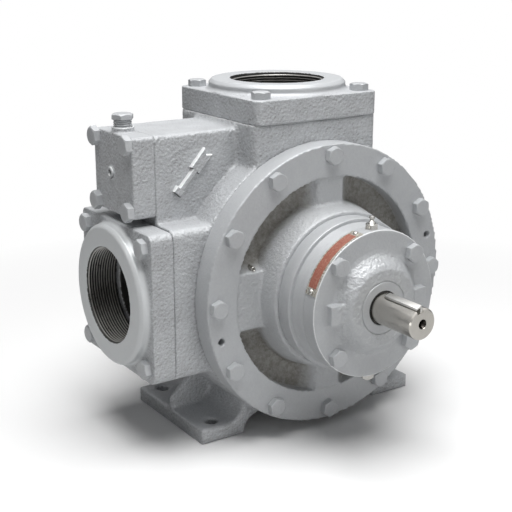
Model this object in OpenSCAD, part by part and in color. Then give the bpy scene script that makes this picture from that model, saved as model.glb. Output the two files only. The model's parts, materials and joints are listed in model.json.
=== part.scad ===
// Foot-mounted sliding vane pump with two threaded companion flanges at a right
// angle and a built-in relief valve. The shaft lies along Y and its drive end
// points to -Y. The origin is on the mounting plane, in the middle of the four
// foot holes, and +Z is up.

/* [Casing] */
// Height of the shaft's axis above the mounting plane
shaft_h = 174; // [168:1:190]
// Outside diameter of the round body and of both heads
body_d = 330; // [324:1:340]
// Length of the casing between the two heads
body_len = 166; // [160:1:180]
// Diameter of the through bore that holds the liner and the side plates
bore_d = 244; // [238:1:246]
// Width of the port necks across the shaft
neck_w = 171; // [160:1:174]
// How much shorter than the casing the necks are along the shaft
neck_short = 1; // [0:0.5:6]
// Corner radius of the port necks
neck_r = 9.5; // [6:0.5:20]
// Distance from the shaft's axis to the face of the top neck
top_reach = 188.5; // [186:0.5:200]
// Distance from the shaft's axis to the face of the side neck
side_reach = 190.5; // [186:0.5:200]
// Diameter of the flow passages in the necks
passage_d = 100; // [90:1:104]

/* [Feet] */
// Distance between the outer edges of the two feet
feet_span = 308; // [300:1:330]
// Length of each foot along the shaft
foot_len = 156; // [140:1:160]
// Thickness of the foot plates
foot_t = 18; // [14:0.5:24]
// Distance between the inner edges of the two feet
arch_w = 194; // [180:1:200]
// Thickness of the wall between a foot plate and the body
foot_wall = 24; // [18:1:30]
// Fillet radius between a foot plate and its wall
foot_fillet = 22; // [14:1:26]
// Diameter of the foot holes
foot_hole_d = 16; // [12:0.5:18]
// Distance between the foot holes across the shaft
foot_hole_x = 262; // [250:1:270]
// Distance between the foot holes along the shaft
foot_hole_y = 116; // [100:1:120]
// Thickness of the gusset over each foot
gusset_t = 8; // [6:0.5:12]

/* [Heads] */
// Thickness of the head flanges
head_flange_t = 27; // [24:0.5:32]
// Inside diameter of the flat ring on each head
ring_id = 256; // [250:1:262]
// Depth of the pockets between the ring and the hub
pocket_depth = 20; // [12:0.5:22]
// Depth of the webs' faces below the ring
web_drop = 2; // [1:0.5:4]
// Width of the flat face on the upper and lower webs
web_w_vertical = 32; // [24:1:40]
// Width of the flat face on the left and right webs
web_w_side = 66; // [56:1:76]
// Radius of the hollow slopes beside the upper and lower webs
web_slope_vertical = 39; // [30:1:44]
// Radius of the hollow slopes beside the left and right webs
web_slope_side = 20; // [20:1:30]
// Hub radius at the bottom of the pockets
hub_r_base = 100; // [96:0.5:104]
// Hub radius at its end
hub_r_end = 92; // [88:0.5:94]
// How far the hub stands out of the flange's ring
hub_out = 22.5; // [18:0.5:28]
// Depth of the spigot that centres a head in the casing
spigot_depth = 13; // [10:0.5:16]
// Thickness of the head's wall around the shaft behind the seal
throat_t = 6; // [4:0.5:8]
// Diameter of the seal chamber
seal_chamber_d = 76; // [72:1:80]

/* [Bearing housings and covers] */
// Length of the bearing housings
housing_len = 39; // [36:0.5:44]
// Radius of the wide step of a bearing housing
housing_r_wide = 88; // [86:0.5:91]
// Length of the wide step
housing_step_len = 19; // [12:0.5:24]
// Radius of the bearing housings' narrow end and of the covers
cover_r = 83.5; // [81:0.5:86]
// Thickness of the bearing covers' discs
cover_t = 19; // [17:0.5:24]
// Height of the boss on the drive-end cover
boss_h = 14.5; // [10:0.5:18]
// Radius of the boss at its foot
boss_r_foot = 60; // [54:0.5:61]
// Radius of the boss's flat face
boss_r_face = 42; // [36:0.5:46]
// Width of the two cast lugs beside the boss
lug_w = 22; // [16:1:26]
// How far the lugs stand out of the cover
lug_h = 9; // [6:0.5:12]
// Height of the low boss on the closed cover
rear_boss_h = 6; // [4:0.5:10]

/* [Shaft and bearings] */
// Diameter of the drive end
drive_d = 35; // [32:0.5:35.5]
// How far the shaft reaches from the port plane
drive_reach = 267.5; // [262:0.5:280]
// Diameter of the land that the lip seal runs on
seal_land_d = 37; // [36.5:0.5:37.5]
// Diameter of the bearing journals
journal_d = 40; // [38:0.5:41]
// Diameter of the shaft through the rotor and the seals
core_d = 44; // [42.5:0.5:46]
// Outside diameter of the ball bearings
bearing_od = 90; // [86:1:94]
// Width of the ball bearings
bearing_w = 23; // [20:0.5:24]
// Diameter of the bearing balls
ball_d = 15; // [13:0.5:15.5]
// Number of balls in a bearing
ball_count = 9; // [7:1:9]
// Width of the keyway in the drive end and of its key
keyway_w = 8; // [6:0.5:10]
// Depth of the keyway below the top of the round shaft
keyway_depth = 4.4; // [3:0.1:5]
// Height of the drive key
drive_key_h = 7.9; // [6:0.1:9]
// Angle of the keyway about the shaft in the stored pose, 90 is the top
keyway_angle = 106; // [0:1:180]
// Length of the keyway
keyway_len = 54; // [40:1:58]
// Chamfer at the end of the shaft
shaft_chamfer = 1.5; // [1:0.5:2.5]

/* [Pumping parts] */
// Radius of the rotor
rotor_r = 84; // [82:0.5:86]
// Offset of the liner's bore from the shaft's axis
eccentricity = 11; // [9:0.5:12]
// Thickness of each side plate
side_plate_t = 12; // [10:0.5:14]
// Thickness of a vane
vane_t = 8; // [6:0.5:10]
// Radius at the bottom of the vane slots
slot_r = 32; // [30:0.5:36]
// Width of each window in the liner along the shaft
window_w = 26; // [18:1:30]
// Length of each window round the liner
window_len = 84; // [60:1:96]
// Width of the bars between the windows
window_bar = 8; // [6:1:12]

/* [Port flanges] */
// How much narrower than a neck a companion flange is
flange_short = 2; // [0:0.5:6]
// Corner radius of the companion flanges
flange_r = 9.5; // [6:0.5:20]
// Thickness of the square plate
flange_t = 27; // [22:0.5:32]
// Radius of the raised round boss
port_boss_r = 80.5; // [78:0.5:82]
// Height of the raised boss
port_boss_h = 12.5; // [8:0.5:16]
// Diameter of the pipe thread at its crests
port_thread_d = 110; // [106:0.5:114]
// Distance from a flange bolt to the flange's edges
port_bolt_edge = 16; // [14:0.5:17]

/* [Relief valve] */
// Width of the relief valve housing along the shaft
valve_w = 92; // [88:1:96]
// How far the housing's top lies below the face of the top neck
valve_drop = 6; // [4:0.5:10]
// Gap between the side flange and the valve cover
valve_gap = 9; // [4:0.5:12]
// How far the joint between housing and cover lies behind the side neck's face
valve_set_back = 1; // [0.5:0.5:4]
// Thickness of the valve cover
valve_cover_t = 27; // [26:0.5:32]
// Corner radius of the valve housing and cover
valve_r = 4; // [2:0.5:8]
// Height of the raised flow arrow
arrow_h = 2.5; // [1:0.5:4]
// Diameter of the valve chamber
chamber_d = 66; // [62:0.5:68]
// Diameter of the opening that the valve closes
seat_d = 46; // [38:0.5:50]
// Travel of the valve poppet
poppet_travel = 12; // [8:0.5:14]
// Distance from a cover bolt to the cover's upright edges
valve_edge_y = 8; // [7:0.5:9]
// Distance from a cover bolt to the cover's upper or lower edge
valve_edge_z = 8; // [7.5:0.5:9]
// Diameter of the raised ring round the hole in the valve cover
valve_ring_d = 14; // [12:0.5:18]
// Distance of that hole from the middle of the cover along the shaft
valve_hole_y = 3.5; // [0:0.5:6]
// Wire diameter of the valve spring
spring_wire = 5; // [4:0.5:5.5]
// Mean diameter of the valve spring
spring_d = 44; // [43:0.5:46]
// Number of turns of the spring
spring_turns = 6; // [4:0.5:7]

/* [Fasteners and fittings] */
// Thread diameter of the hex bolts
bolt_d = 12.7; // [10:0.1:14]
// Width across flats of the hex heads
bolt_af = 19; // [17:0.5:20]
// Height of the hex heads
bolt_head_h = 8; // [6:0.5:9]
// How deep a bolt reaches into its tapped hole
bolt_grip = 22; // [16:1:28]
// Radius of the bolt circle on the heads
head_bolt_r = 152; // [149:0.5:153]
// Number of bolts in each head
head_bolt_count = 12; // [8:2:12]
// Radius of the bolt circle on the bearing covers
cover_bolt_r = 72.4; // [71:0.2:73]
// Diameter of the jack-screw holes
jack_hole_d = 8; // [6:0.5:10]
// Width across flats of the gauge plug
plug_af = 22; // [21.5:0.5:24]
// Diameter of the gauge plug's neck
plug_d = 20.5; // [18:0.5:21]
// Height of the round boss under the gauge plug
plug_boss_h = 6; // [3:0.5:8]
// Width across flats of the grease fittings
nipple_af = 13; // [10:0.5:14]

/* [Clearances] */
// Radial clearance of a locating fit between fixed pieces
fit_gap = 0.1; // [0.05:0.05:0.2]
// Radial clearance of a bolt in its hole
bolt_gap = 0.3; // [0.2:0.1:0.6]
// Radial clearance of a running fit
running_gap = 0.05; // [0.02:0.01:0.09]
// Gap between the rotor and each side plate
end_gap = 0.3; // [0.1:0.1:0.5]

/* [Hidden] */

$fn = 96;
eps = 0.01;
cut = 1;

// Stations along the shaft, measured from the port plane towards an end
casing_end = body_len / 2;
ring_face = casing_end + head_flange_t;
pocket_floor = ring_face - pocket_depth;
hub_end = ring_face + hub_out;
housing_end = hub_end + housing_len;
cover_face = housing_end + cover_t;
boss_face = cover_face + boss_h;
plate_back = casing_end - spigot_depth;
chamber_half = plate_back - side_plate_t;
rotor_half = chamber_half - end_gap;

// Bearing, seal and locknut stations
cover_register = 1.5;
bearing_front = housing_end - cover_register;
bearing_back = bearing_front - bearing_w;
journal_start = bearing_back - 1;
nut_t = 12;
nut_front = bearing_front + nut_t;
journal_end = nut_front + 2;
cavity_r = 34;
cavity_end = journal_end + 2;
seal_seat_t = 12;
seal_seat_front = hub_end;
seal_seat_back = seal_seat_front - seal_seat_t;
seal_head_back = plate_back + throat_t + 4;
lip_seal_r = 29.5;
lip_seal_t = 10;
seal_face = boss_face - 0.6;

// Port necks and flanges
neck_len = body_len - neck_short;
flange_w = neck_w - flange_short;
port_bolt_pitch = flange_w - 2 * port_bolt_edge;

// Radii
body_r = body_d / 2;
bore_r = bore_d / 2;
core_r = core_d / 2;
journal_r = journal_d / 2;
drive_r = drive_d / 2;
seal_land_r = seal_land_d / 2;
bearing_r = bearing_od / 2;
ball_r = ball_d / 2;
pitch_r = (journal_r + bearing_r) / 2;
race_gap = 0.3;
race_land = ball_r * 0.3;
liner_bore_r = rotor_r + eccentricity + 0.3;
liner_r = bore_r - fit_gap;
eccentric_angle = -45;
vane_tip_r = rotor_r - 0.2;
vane_root_r = slot_r + 0.5;
vane_count = 6;
first_vane_angle = 30;

// Relief valve, measured from the shaft's axis
valve_top = top_reach - valve_drop;
valve_bottom = flange_w / 2 + valve_gap;
valve_joint = side_reach - valve_set_back;
valve_h = valve_top - valve_bottom;
valve_z = (valve_top + valve_bottom) / 2;
valve_bolt_y = valve_w - 2 * valve_edge_y;
valve_bolt_z = valve_h - 2 * valve_edge_z;
seat_face = 118;
seat_t = 12;
poppet_disc_t = 8;
poppet_r = 30;
cup_bore_r = 12;
cup_wall = 4.5;
cup_len = 24;
guide_flange_t = 4;
guide_tip = seat_face + poppet_disc_t / 2 + poppet_travel + 1;
spring_turn_steps = 18;
spring_sides = 8;

// Small details
bolt_r = bolt_d / 2;
bolt_hole_r = bolt_r + bolt_gap;
tap_extra = 3;
ring_groove_w = 5;
ring_section_r = 2;
gasket_r = 64;
gasket_section_r = 2.2;
valve_gasket_r = chamber_d / 2 + 5;
valve_section_r = 1.5;
key_w = 10;
key_h = 8;
key_gap = 0.02;
rim_chamfer = 1;
slope_dip = 0.4;
web_start = 55;
lug_depth = 18;
valve_ring_h = 1.5;
valve_hole_d = 6;
valve_hole_depth = 16;
plug_depth = 13;

// Turns a profile of (radius, distance along Y) about the shaft's axis
module revolve() {
    translate([0, 0, shaft_h])
        rotate([-90, 0, 0])
            rotate_extrude($fn = $fn)
                children();
}

// A plain ring or disc on the shaft's axis
module ring(r_out, r_in, y0, y1) {
    translate([0, 0, shaft_h])
        rotate([-90, 0, 0])
            difference() {
                translate([0, 0, y0])
                    cylinder(r = r_out, h = y1 - y0);
                if (r_in > 0)
                    translate([0, 0, y0 - cut])
                        cylinder(r = r_in, h = y1 - y0 + 2 * cut);
            }
}

// Cylinder along Y on a circle about the shaft's axis, 0 degrees at +X, 90 at +Z
module rod_at(radius, angle, r, y0, y1) {
    translate([radius * cos(angle), y0, shaft_h + radius * sin(angle)])
        rotate([-90, 0, 0])
            cylinder(r = r, h = y1 - y0, $fn = 48);
}

// Turns children from +X to an angle about the shaft's axis
module turned(angle) {
    translate([0, 0, shaft_h])
        rotate([0, -angle, 0])
            children();
}

// Square with round corners, centred
module rounded_square(w, h, r) {
    square([w - 2 * r, h], center = true);
    square([w, h - 2 * r], center = true);
    for (sx = [-1, 1], sy = [-1, 1])
        translate([sx * (w / 2 - r), sy * (h / 2 - r)])
            circle(r = r, $fn = 64);
}

// Hex bolt whose head stands on z = 0, tightened to an angle, with its shank down
module hex_bolt(shank, angle) {
    rotate([0, 0, angle])
        cylinder(d = bolt_af / cos(30), h = bolt_head_h, $fn = 6);
    translate([0, 0, -shank])
        cylinder(r = bolt_r, h = shank + eps, $fn = 48);
}

// Puts its children on the top port, whose neck stands on +Z
module on_top_port() {
    translate([0, 0, shaft_h + top_reach])
        children();
}

// Puts its children on the side port, whose neck points to -X
module on_side_port() {
    translate([-side_reach, 0, shaft_h])
        rotate([0, -90, 0])
            children();
}

// Puts its children on the relief valve's joint, with their Z pointing to -X
module on_valve_joint() {
    translate([-valve_joint, 0, shaft_h + valve_z])
        rotate([0, -90, 0])
            children();
}

function head_bolt_angle(i) = i * 360 / head_bolt_count;
function cover_bolt_angle(i) = 45 + 90 * i;
function tightened(i) = 30 + 9 * (i % 3 - 1);

// Casing

// Section across one foot: plate, wall and the fillet between them
module foot_section() {
    outer = feet_span / 2;
    inner = arch_w / 2;
    wall_out = inner + 2;
    wall_in = wall_out - foot_wall;
    difference() {
        union() {
            translate([inner, 0])
                square([outer - inner, foot_t]);
            translate([wall_in, 0])
                square([wall_out - wall_in + foot_fillet, foot_t + foot_fillet]);
            translate([wall_in, 0])
                square([foot_wall, shaft_h / 2]);
        }
        translate([wall_out + foot_fillet, foot_t + foot_fillet])
            circle(r = foot_fillet, $fn = 64);
        translate([wall_in, 0])
            circle(r = inner - wall_in, $fn = 64);
    }
}

module foot_pair() {
    for (side = [0, 1])
        mirror([side, 0, 0])
            rotate([90, 0, 0])
                translate([0, 0, -foot_len / 2])
                    linear_extrude(height = foot_len)
                        foot_section();
}

// Gusset from the plate's outer edge up to the body, its edge at 45 degrees
module gussets() {
    outer = feet_span / 2 - cut;
    inner = arch_w / 2;
    low_z = foot_t + 12;
    high_z = low_z + outer - inner;
    for (side = [0, 1])
        mirror([side, 0, 0])
            rotate([90, 0, 0])
                translate([0, 0, -gusset_t / 2])
                    linear_extrude(height = gusset_t)
                        polygon([[outer, foot_t - cut], [outer, low_z], [inner, high_z], [inner, foot_t - cut]]);
}

module casing_outside() {
    ring(body_r, 0, -casing_end, casing_end);
    translate([0, 0, shaft_h])
        linear_extrude(height = top_reach)
            rounded_square(neck_w, neck_len, neck_r);
    translate([0, 0, shaft_h])
        rotate([0, -90, 0])
            linear_extrude(height = side_reach)
                rounded_square(neck_w, neck_len, neck_r);
    valve_housing();
    flow_arrow();
    foot_pair();
    gussets();
}

// Block in the corner between the two necks
module valve_housing() {
    foot = neck_w / 2 - 10;
    translate([-valve_joint, 0, shaft_h + foot])
        rotate([0, 90, 0])
            translate([-(valve_top - foot) / 2, 0, 0])
                linear_extrude(height = valve_joint - neck_w / 4)
                    rounded_square(valve_top - foot, valve_w, valve_r);
}

// Raised flow arrow on the valve housing: shaft, wide notched head and tail block
module flow_arrow() {
    long = 56;
    shaft_w = 6;
    head_w = 13;
    head_len = 27;
    tail_len = 8;
    middle_x = (valve_joint + neck_w / 2) / 2 + 6;
    translate([-middle_x, -valve_w / 2 + cut, shaft_h + valve_z + 2])
        rotate([90, -48, 0])
            linear_extrude(height = arrow_h + cut) {
                square([long, shaft_w], center = true);
                polygon([[long / 2 - head_len, -head_w / 2], [long / 2, -head_w / 2], [long / 2 - 5, 0],
                    [long / 2, head_w / 2], [long / 2 - head_len, head_w / 2]]);
                translate([-long / 2 - tail_len / 2, -head_w / 2 + 2])
                    square([tail_len, head_w - 2]);
            }
}

module casing_passages() {
    ring(bore_r, 0, -casing_end - cut, casing_end + cut);
    translate([0, 0, shaft_h])
        cylinder(d = passage_d, h = top_reach + cut);
    translate([0, 0, shaft_h])
        rotate([0, -90, 0])
            cylinder(d = passage_d, h = side_reach + cut);
    on_valve_joint()
        translate([0, 0, -(valve_joint - seat_face + seat_t)])
            cylinder(d = chamber_d, h = valve_joint - seat_face + seat_t + cut);
    on_valve_joint()
        translate([0, 0, -valve_joint])
            cylinder(d = seat_d, h = valve_joint - seat_face);
    translate([-(seat_face + valve_joint) / 2, 0, shaft_h])
        cylinder(d = seat_d, h = valve_z);
}

module casing_bolt_holes() {
    for (i = [0 : head_bolt_count - 1], end = [-1, 1])
        mirror([0, end < 0 ? 1 : 0, 0])
            rod_at(head_bolt_r, head_bolt_angle(i), bolt_hole_r, casing_end - bolt_grip - tap_extra,
                casing_end + cut);
    on_top_port() port_bolt_holes();
    on_side_port() port_bolt_holes();
    on_valve_joint() valve_bolt_spots()
        translate([0, 0, -bolt_grip - tap_extra])
            cylinder(r = bolt_hole_r, h = bolt_grip + tap_extra + cut, $fn = 48);
}

module port_bolt_spots() {
    for (sx = [-1, 1], sy = [-1, 1])
        translate([sx * port_bolt_pitch / 2, sy * port_bolt_pitch / 2, 0])
            children();
}

module port_bolt_holes() {
    port_bolt_spots()
        translate([0, 0, -bolt_grip - tap_extra])
            cylinder(r = bolt_hole_r, h = bolt_grip + tap_extra + cut, $fn = 48);
}

module valve_bolt_spots() {
    for (sx = [-1, 1], sy = [-1, 1])
        translate([sx * valve_bolt_z / 2, sy * valve_bolt_y / 2, 0])
            children();
}

module foot_holes() {
    for (sx = [-1, 1], sy = [-1, 1])
        translate([sx * foot_hole_x / 2, sy * foot_hole_y / 2, -cut])
            cylinder(d = foot_hole_d, h = foot_t + 2 * cut, $fn = 48);
}

module casing() {
    color("silver")
        difference() {
            casing_outside();
            casing_passages();
            casing_bolt_holes();
            foot_holes();
        }
}

// Heads

// Bar across the pocket groove: a flat face with a hollow slope on each side
module web_bar(face_w, slope_r) {
    slope_w = sqrt(slope_r * slope_r - pow(slope_r - pocket_depth, 2));
    half = face_w / 2;
    rotate([90, 0, 90])
        translate([0, 0, web_start])
            linear_extrude(height = ring_id / 2 + 4 - web_start)
                difference() {
                    translate([-ring_face + web_drop, -half - slope_w])
                        square([pocket_depth - web_drop + cut, face_w + 2 * slope_w]);
                    for (side = [-1, 1])
                        translate([-pocket_floor - slope_r + slope_dip, side * (half + slope_w)])
                            circle(r = slope_r, $fn = 64);
                }
}

module web_bars() {
    for (angle = [0, 180])
        turned(angle) web_bar(web_w_side, web_slope_side);
    for (angle = [90, 270])
        turned(angle) web_bar(web_w_vertical, web_slope_vertical);
}

// Groove between ring and hub, open to the front
module pocket_groove() {
    revolve()
        polygon([[hub_r_base - 2, -pocket_floor], [ring_id / 2, -pocket_floor],
            [ring_id / 2, -hub_end - cut], [hub_r_end - 2, -hub_end - cut]]);
}

module head_hub() {
    revolve()
        polygon([[0, -pocket_floor + cut], [hub_r_base, -pocket_floor + cut],
            [hub_r_base, -pocket_floor], [hub_r_end, -hub_end + rim_chamfer],
            [hub_r_end - rim_chamfer, -hub_end], [0, -hub_end]]);
}

module head_flange() {
    ring(body_r, 0, -ring_face, -casing_end);
    ring(bore_r - fit_gap, 0, -casing_end - eps, -plate_back);
}

module head_ring_groove() {
    groove_y = -(casing_end + plate_back) / 2;
    ring(bore_r + cut, bore_r - 2 * ring_section_r - 0.3, groove_y - ring_groove_w / 2,
        groove_y + ring_groove_w / 2);
}

module head() {
    difference() {
        union() {
            difference() {
                head_flange();
                difference() {
                    pocket_groove();
                    web_bars();
                }
            }
            head_hub();
        }
        head_ring_groove();
        ring(core_r + 1, 0, -hub_end - cut, -plate_back + cut);
        ring(seal_chamber_d / 2, 0, -hub_end - cut, -plate_back - throat_t);
        for (i = [0 : head_bolt_count - 1])
            rod_at(head_bolt_r, head_bolt_angle(i), bolt_hole_r, -ring_face - cut, -casing_end + cut);
        for (angle = [15, 195])
            rod_at(head_bolt_r, angle, jack_hole_d / 2, -ring_face - cut, -casing_end + cut);
        for (i = [0 : 3])
            rod_at(cover_bolt_r, cover_bolt_angle(i), bolt_hole_r, -hub_end - cut,
                -hub_end + bolt_grip + tap_extra);
    }
}

module front_head() {
    color("silver")
        difference() {
            head();
            web_fitting_hole();
        }
}

module rear_head() {
    color("silver")
        mirror([0, 1, 0])
            head();
}

// Bearing housings
module bearing_housing() {
    step_end = -hub_end - housing_step_len;
    difference() {
        revolve()
            polygon([[seal_chamber_d / 2 - 6, -hub_end], [housing_r_wide, -hub_end],
                [housing_r_wide, step_end + rim_chamfer], [housing_r_wide - rim_chamfer, step_end],
                [cover_r, step_end], [cover_r, -housing_end], [bearing_r + fit_gap, -housing_end],
                [bearing_r + fit_gap, -bearing_back], [seal_chamber_d / 2 - 6, -bearing_back]]);
        for (i = [0 : 3])
            rod_at(cover_bolt_r, cover_bolt_angle(i), bolt_hole_r, -housing_end - cut, -hub_end + cut);
    }
}

module front_bearing_housing() {
    color("silver") bearing_housing();
}

module rear_bearing_housing() {
    color("silver") mirror([0, 1, 0]) bearing_housing();
}

// Bearing covers

module cover_bolt_holes() {
    for (i = [0 : 3])
        rod_at(cover_bolt_r, cover_bolt_angle(i), bolt_hole_r, -cover_face - cut, -housing_end + cut);
}

// Register that clamps the bearing's outer race
module cover_register_ring() {
    ring(bearing_r - fit_gap, cavity_r, -housing_end - eps, -bearing_front);
}

// Hole for a grease fitting in the rim, at an angle about the shaft
module grease_hole(angle) {
    translate([0, -grease_y, shaft_h])
        rotate([0, 90 - angle, 0])
            translate([0, 0, cavity_r - cut])
                cylinder(r = nipple_r + fit_gap, h = cover_r - cavity_r + 2 * cut, $fn = 32);
}

module front_bearing_cover() {
    color("silver")
        difference() {
            union() {
                revolve()
                    polygon([[0, -housing_end], [cover_r, -housing_end],
                        [cover_r, -cover_face + rim_chamfer], [cover_r - rim_chamfer, -cover_face],
                        [boss_r_foot, -cover_face], [boss_r_foot - 4, -cover_face - 1],
                        [boss_r_face + 5, -boss_face + 3], [boss_r_face + 1, -boss_face],
                        [0, -boss_face]]);
                cover_register_ring();
                for (side = [-1, 1])
                    translate([side * (boss_r_foot - 3), -cover_face + cut, shaft_h])
                        translate([-lug_depth / 2, -lug_h - cut, -lug_w / 2])
                            cube([lug_depth, lug_h + cut, lug_w]);
            }
            ring(cavity_r, 0, -cavity_end, -bearing_front + cut);
            ring(seal_land_r + 1, 0, -boss_face - cut, -cavity_end + cut);
            ring(lip_seal_r + fit_gap, 0, -boss_face - cut, -boss_face + lip_seal_t);
            cover_bolt_holes();
            grease_hole(90);
            grease_hole(270);
        }
}

module rear_bearing_cover() {
    color("silver")
        mirror([0, 1, 0])
            difference() {
                union() {
                    revolve()
                        polygon([[0, -housing_end], [cover_r, -housing_end],
                            [cover_r, -cover_face + rim_chamfer], [cover_r - rim_chamfer, -cover_face],
                            [boss_r_foot, -cover_face], [boss_r_foot - 6, -cover_face - rear_boss_h],
                            [0, -cover_face - rear_boss_h]]);
                    cover_register_ring();
                }
                ring(cavity_r, 0, -cavity_end, -bearing_front + cut);
                cover_bolt_holes();
                grease_hole(90);
            }
}

// Port flanges

// Square plate with a raised round boss, standing on z = 0
module companion_flange() {
    edge = 4;
    difference() {
        union() {
            linear_extrude(height = flange_t)
                rounded_square(flange_w, flange_w, flange_r);
            rotate_extrude()
                polygon([[0, flange_t - cut], [port_boss_r + 3, flange_t - cut], [port_boss_r + 3, flange_t],
                    [port_boss_r, flange_t + edge], [port_boss_r, flange_t + port_boss_h - edge],
                    [port_boss_r - edge, flange_t + port_boss_h], [0, flange_t + port_boss_h]]);
        }
        translate([0, 0, -cut])
            cylinder(d = port_thread_d, h = flange_t + port_boss_h + 2 * cut);
        port_bolt_spots()
            translate([0, 0, -cut])
                cylinder(r = bolt_hole_r, h = flange_t + 2 * cut, $fn = 48);
        translate([0, 0, -cut])
            gasket_groove(gasket_r, gasket_section_r);
    }
}

// Groove for a round-section gasket, open downwards
module gasket_groove(r, section_r) {
    difference() {
        cylinder(r = r + section_r + 0.3, h = 2 * section_r - 0.1 + cut);
        translate([0, 0, -cut])
            cylinder(r = r - section_r - 0.3, h = 2 * section_r + 3 * cut);
    }
}

module round_gasket(r, section_r) {
    translate([0, 0, section_r - 0.15])
        rotate_extrude()
            translate([r, 0])
                circle(r = section_r - 0.15, $fn = 24);
}

module top_flange() {
    color("silver") on_top_port() companion_flange();
}

module side_flange() {
    color("silver") on_side_port() companion_flange();
}

module top_flange_gasket() {
    color("dimgray") on_top_port() round_gasket(gasket_r, gasket_section_r);
}

module side_flange_gasket() {
    color("dimgray") on_side_port() round_gasket(gasket_r, gasket_section_r);
}

// Relief valve

module relief_valve_cover() {
    color("silver")
        on_valve_joint()
            difference() {
                union() {
                    linear_extrude(height = valve_cover_t)
                        rounded_square(valve_h, valve_w, valve_r);
                    translate([0, valve_hole_y, 0])
                        cylinder(d = valve_ring_d, h = valve_cover_t + valve_ring_h, $fn = 48);
                    translate([valve_h / 2 - plug_depth, 0, valve_cover_t / 2])
                        rotate([0, 90, 0])
                            cylinder(d = plug_d + 4, h = plug_depth + plug_boss_h, $fn = 64);
                }
                valve_bolt_spots()
                    translate([0, 0, -cut])
                        cylinder(r = bolt_hole_r, h = valve_cover_t + 2 * cut, $fn = 48);
                translate([0, valve_hole_y, valve_cover_t - valve_hole_depth])
                    cylinder(d = valve_hole_d, h = valve_hole_depth + valve_ring_h + cut, $fn = 32);
                translate([0, valve_hole_y, valve_cover_t + valve_ring_h - 2])
                    cylinder(d1 = valve_hole_d, d2 = valve_hole_d + 4, h = 2 + eps, $fn = 32);
                translate([valve_h / 2 - plug_depth, 0, valve_cover_t / 2])
                    rotate([0, 90, 0])
                        cylinder(r = plug_d / 2 + fit_gap, h = plug_depth + plug_boss_h + cut, $fn = 48);
                translate([0, 0, -cut])
                    gasket_groove(valve_gasket_r, valve_section_r);
            }
}

module valve_cover_gasket() {
    color("dimgray") on_valve_joint() round_gasket(valve_gasket_r, valve_section_r);
}

// Hardened ring that the poppet closes on
module valve_seat() {
    color("gainsboro")
        on_valve_joint()
            translate([0, 0, -(valve_joint - seat_face + seat_t)])
                difference() {
                    cylinder(d = chamber_d - 2 * fit_gap, h = seat_t);
                    translate([0, 0, -cut])
                        cylinder(d = seat_d, h = seat_t + 2 * cut);
                }
}

// Disc on the seat with a cup that slides on the spring guide
module valve_poppet() {
    color("gainsboro")
        on_valve_joint()
            translate([0, 0, -(valve_joint - seat_face)])
                difference() {
                    union() {
                        cylinder(r = poppet_r, h = poppet_disc_t);
                        cylinder(r = cup_bore_r + cup_wall, h = poppet_disc_t / 2 + cup_len);
                        translate([0, 0, -seat_t / 2])
                            cylinder(r1 = seat_d / 2 - 4, r2 = seat_d / 2 - 1, h = seat_t / 2 + 1);
                    }
                    translate([0, 0, poppet_disc_t / 2])
                        cylinder(r = cup_bore_r + running_gap, h = cup_len + cut);
                }
}

module valve_spring_guide() {
    color("gainsboro")
        translate([-valve_joint, 0, shaft_h + valve_z])
            rotate([0, 90, 0]) {
                cylinder(r = chamber_d / 2 - 3, h = guide_flange_t);
                cylinder(r = cup_bore_r, h = valve_joint - guide_tip);
            }
}

// One point of the spring's tube, from its turn and its place round the wire
function coil_point(turn, side, pitch) =
    let (a = 360 * turn, b = 360 * side / spring_sides,
        r = spring_d / 2 + spring_wire / 2 * cos(b))
    [r * cos(a), r * sin(a), turn * pitch + spring_wire / 2 * sin(b)];

module coil(height) {
    pitch = (height - spring_wire) / spring_turns;
    steps = floor(spring_turns * spring_turn_steps);
    points = [for (i = [0 : steps], k = [0 : spring_sides - 1])
        coil_point(i / spring_turn_steps, k, pitch)];
    side_faces = [for (i = [0 : steps - 1], k = [0 : spring_sides - 1])
        let (n = (k + 1) % spring_sides, a = i * spring_sides, b = a + spring_sides)
        [a + k, b + k, b + n, a + n]];
    first_cap = [for (k = [0 : spring_sides - 1]) k];
    last_cap = [for (k = [spring_sides - 1 : -1 : 0]) steps * spring_sides + k];
    translate([0, 0, spring_wire / 2])
        polyhedron(points = points, faces = concat(side_faces, [first_cap, last_cap]), convexity = 8);
}

module valve_spring() {
    spring_from = seat_face + poppet_disc_t + race_gap;
    spring_to = valve_joint - guide_flange_t - race_gap;
    color("dimgray")
        translate([-spring_from, 0, shaft_h + valve_z])
            rotate([0, -90, 0])
                coil(spring_to - spring_from);
}

// Pumping parts

// Three windows through the liner towards one port
module liner_windows(angle) {
    for (i = [-1, 0, 1])
        turned(angle)
            translate([liner_bore_r / 2, i * (window_w + window_bar) - window_w / 2, -window_len / 2])
                cube([bore_r, window_w, window_len]);
}

module liner() {
    color("darkgray")
        difference() {
            ring(liner_r, 0, -chamber_half, chamber_half);
            translate([eccentricity * cos(eccentric_angle), 0, eccentricity * sin(eccentric_angle)])
                ring(liner_bore_r, 0, -chamber_half - cut, chamber_half + cut);
            liner_windows(90);
            liner_windows(180);
        }
}

module side_plate() {
    ring(liner_r, core_r + 0.5, -plate_back, -chamber_half);
}

module front_side_plate() {
    color("darkgray") side_plate();
}

module rear_side_plate() {
    color("darkgray") mirror([0, 1, 0]) side_plate();
}

function vane_angle(i) = first_vane_angle + i * 360 / vane_count;

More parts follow.
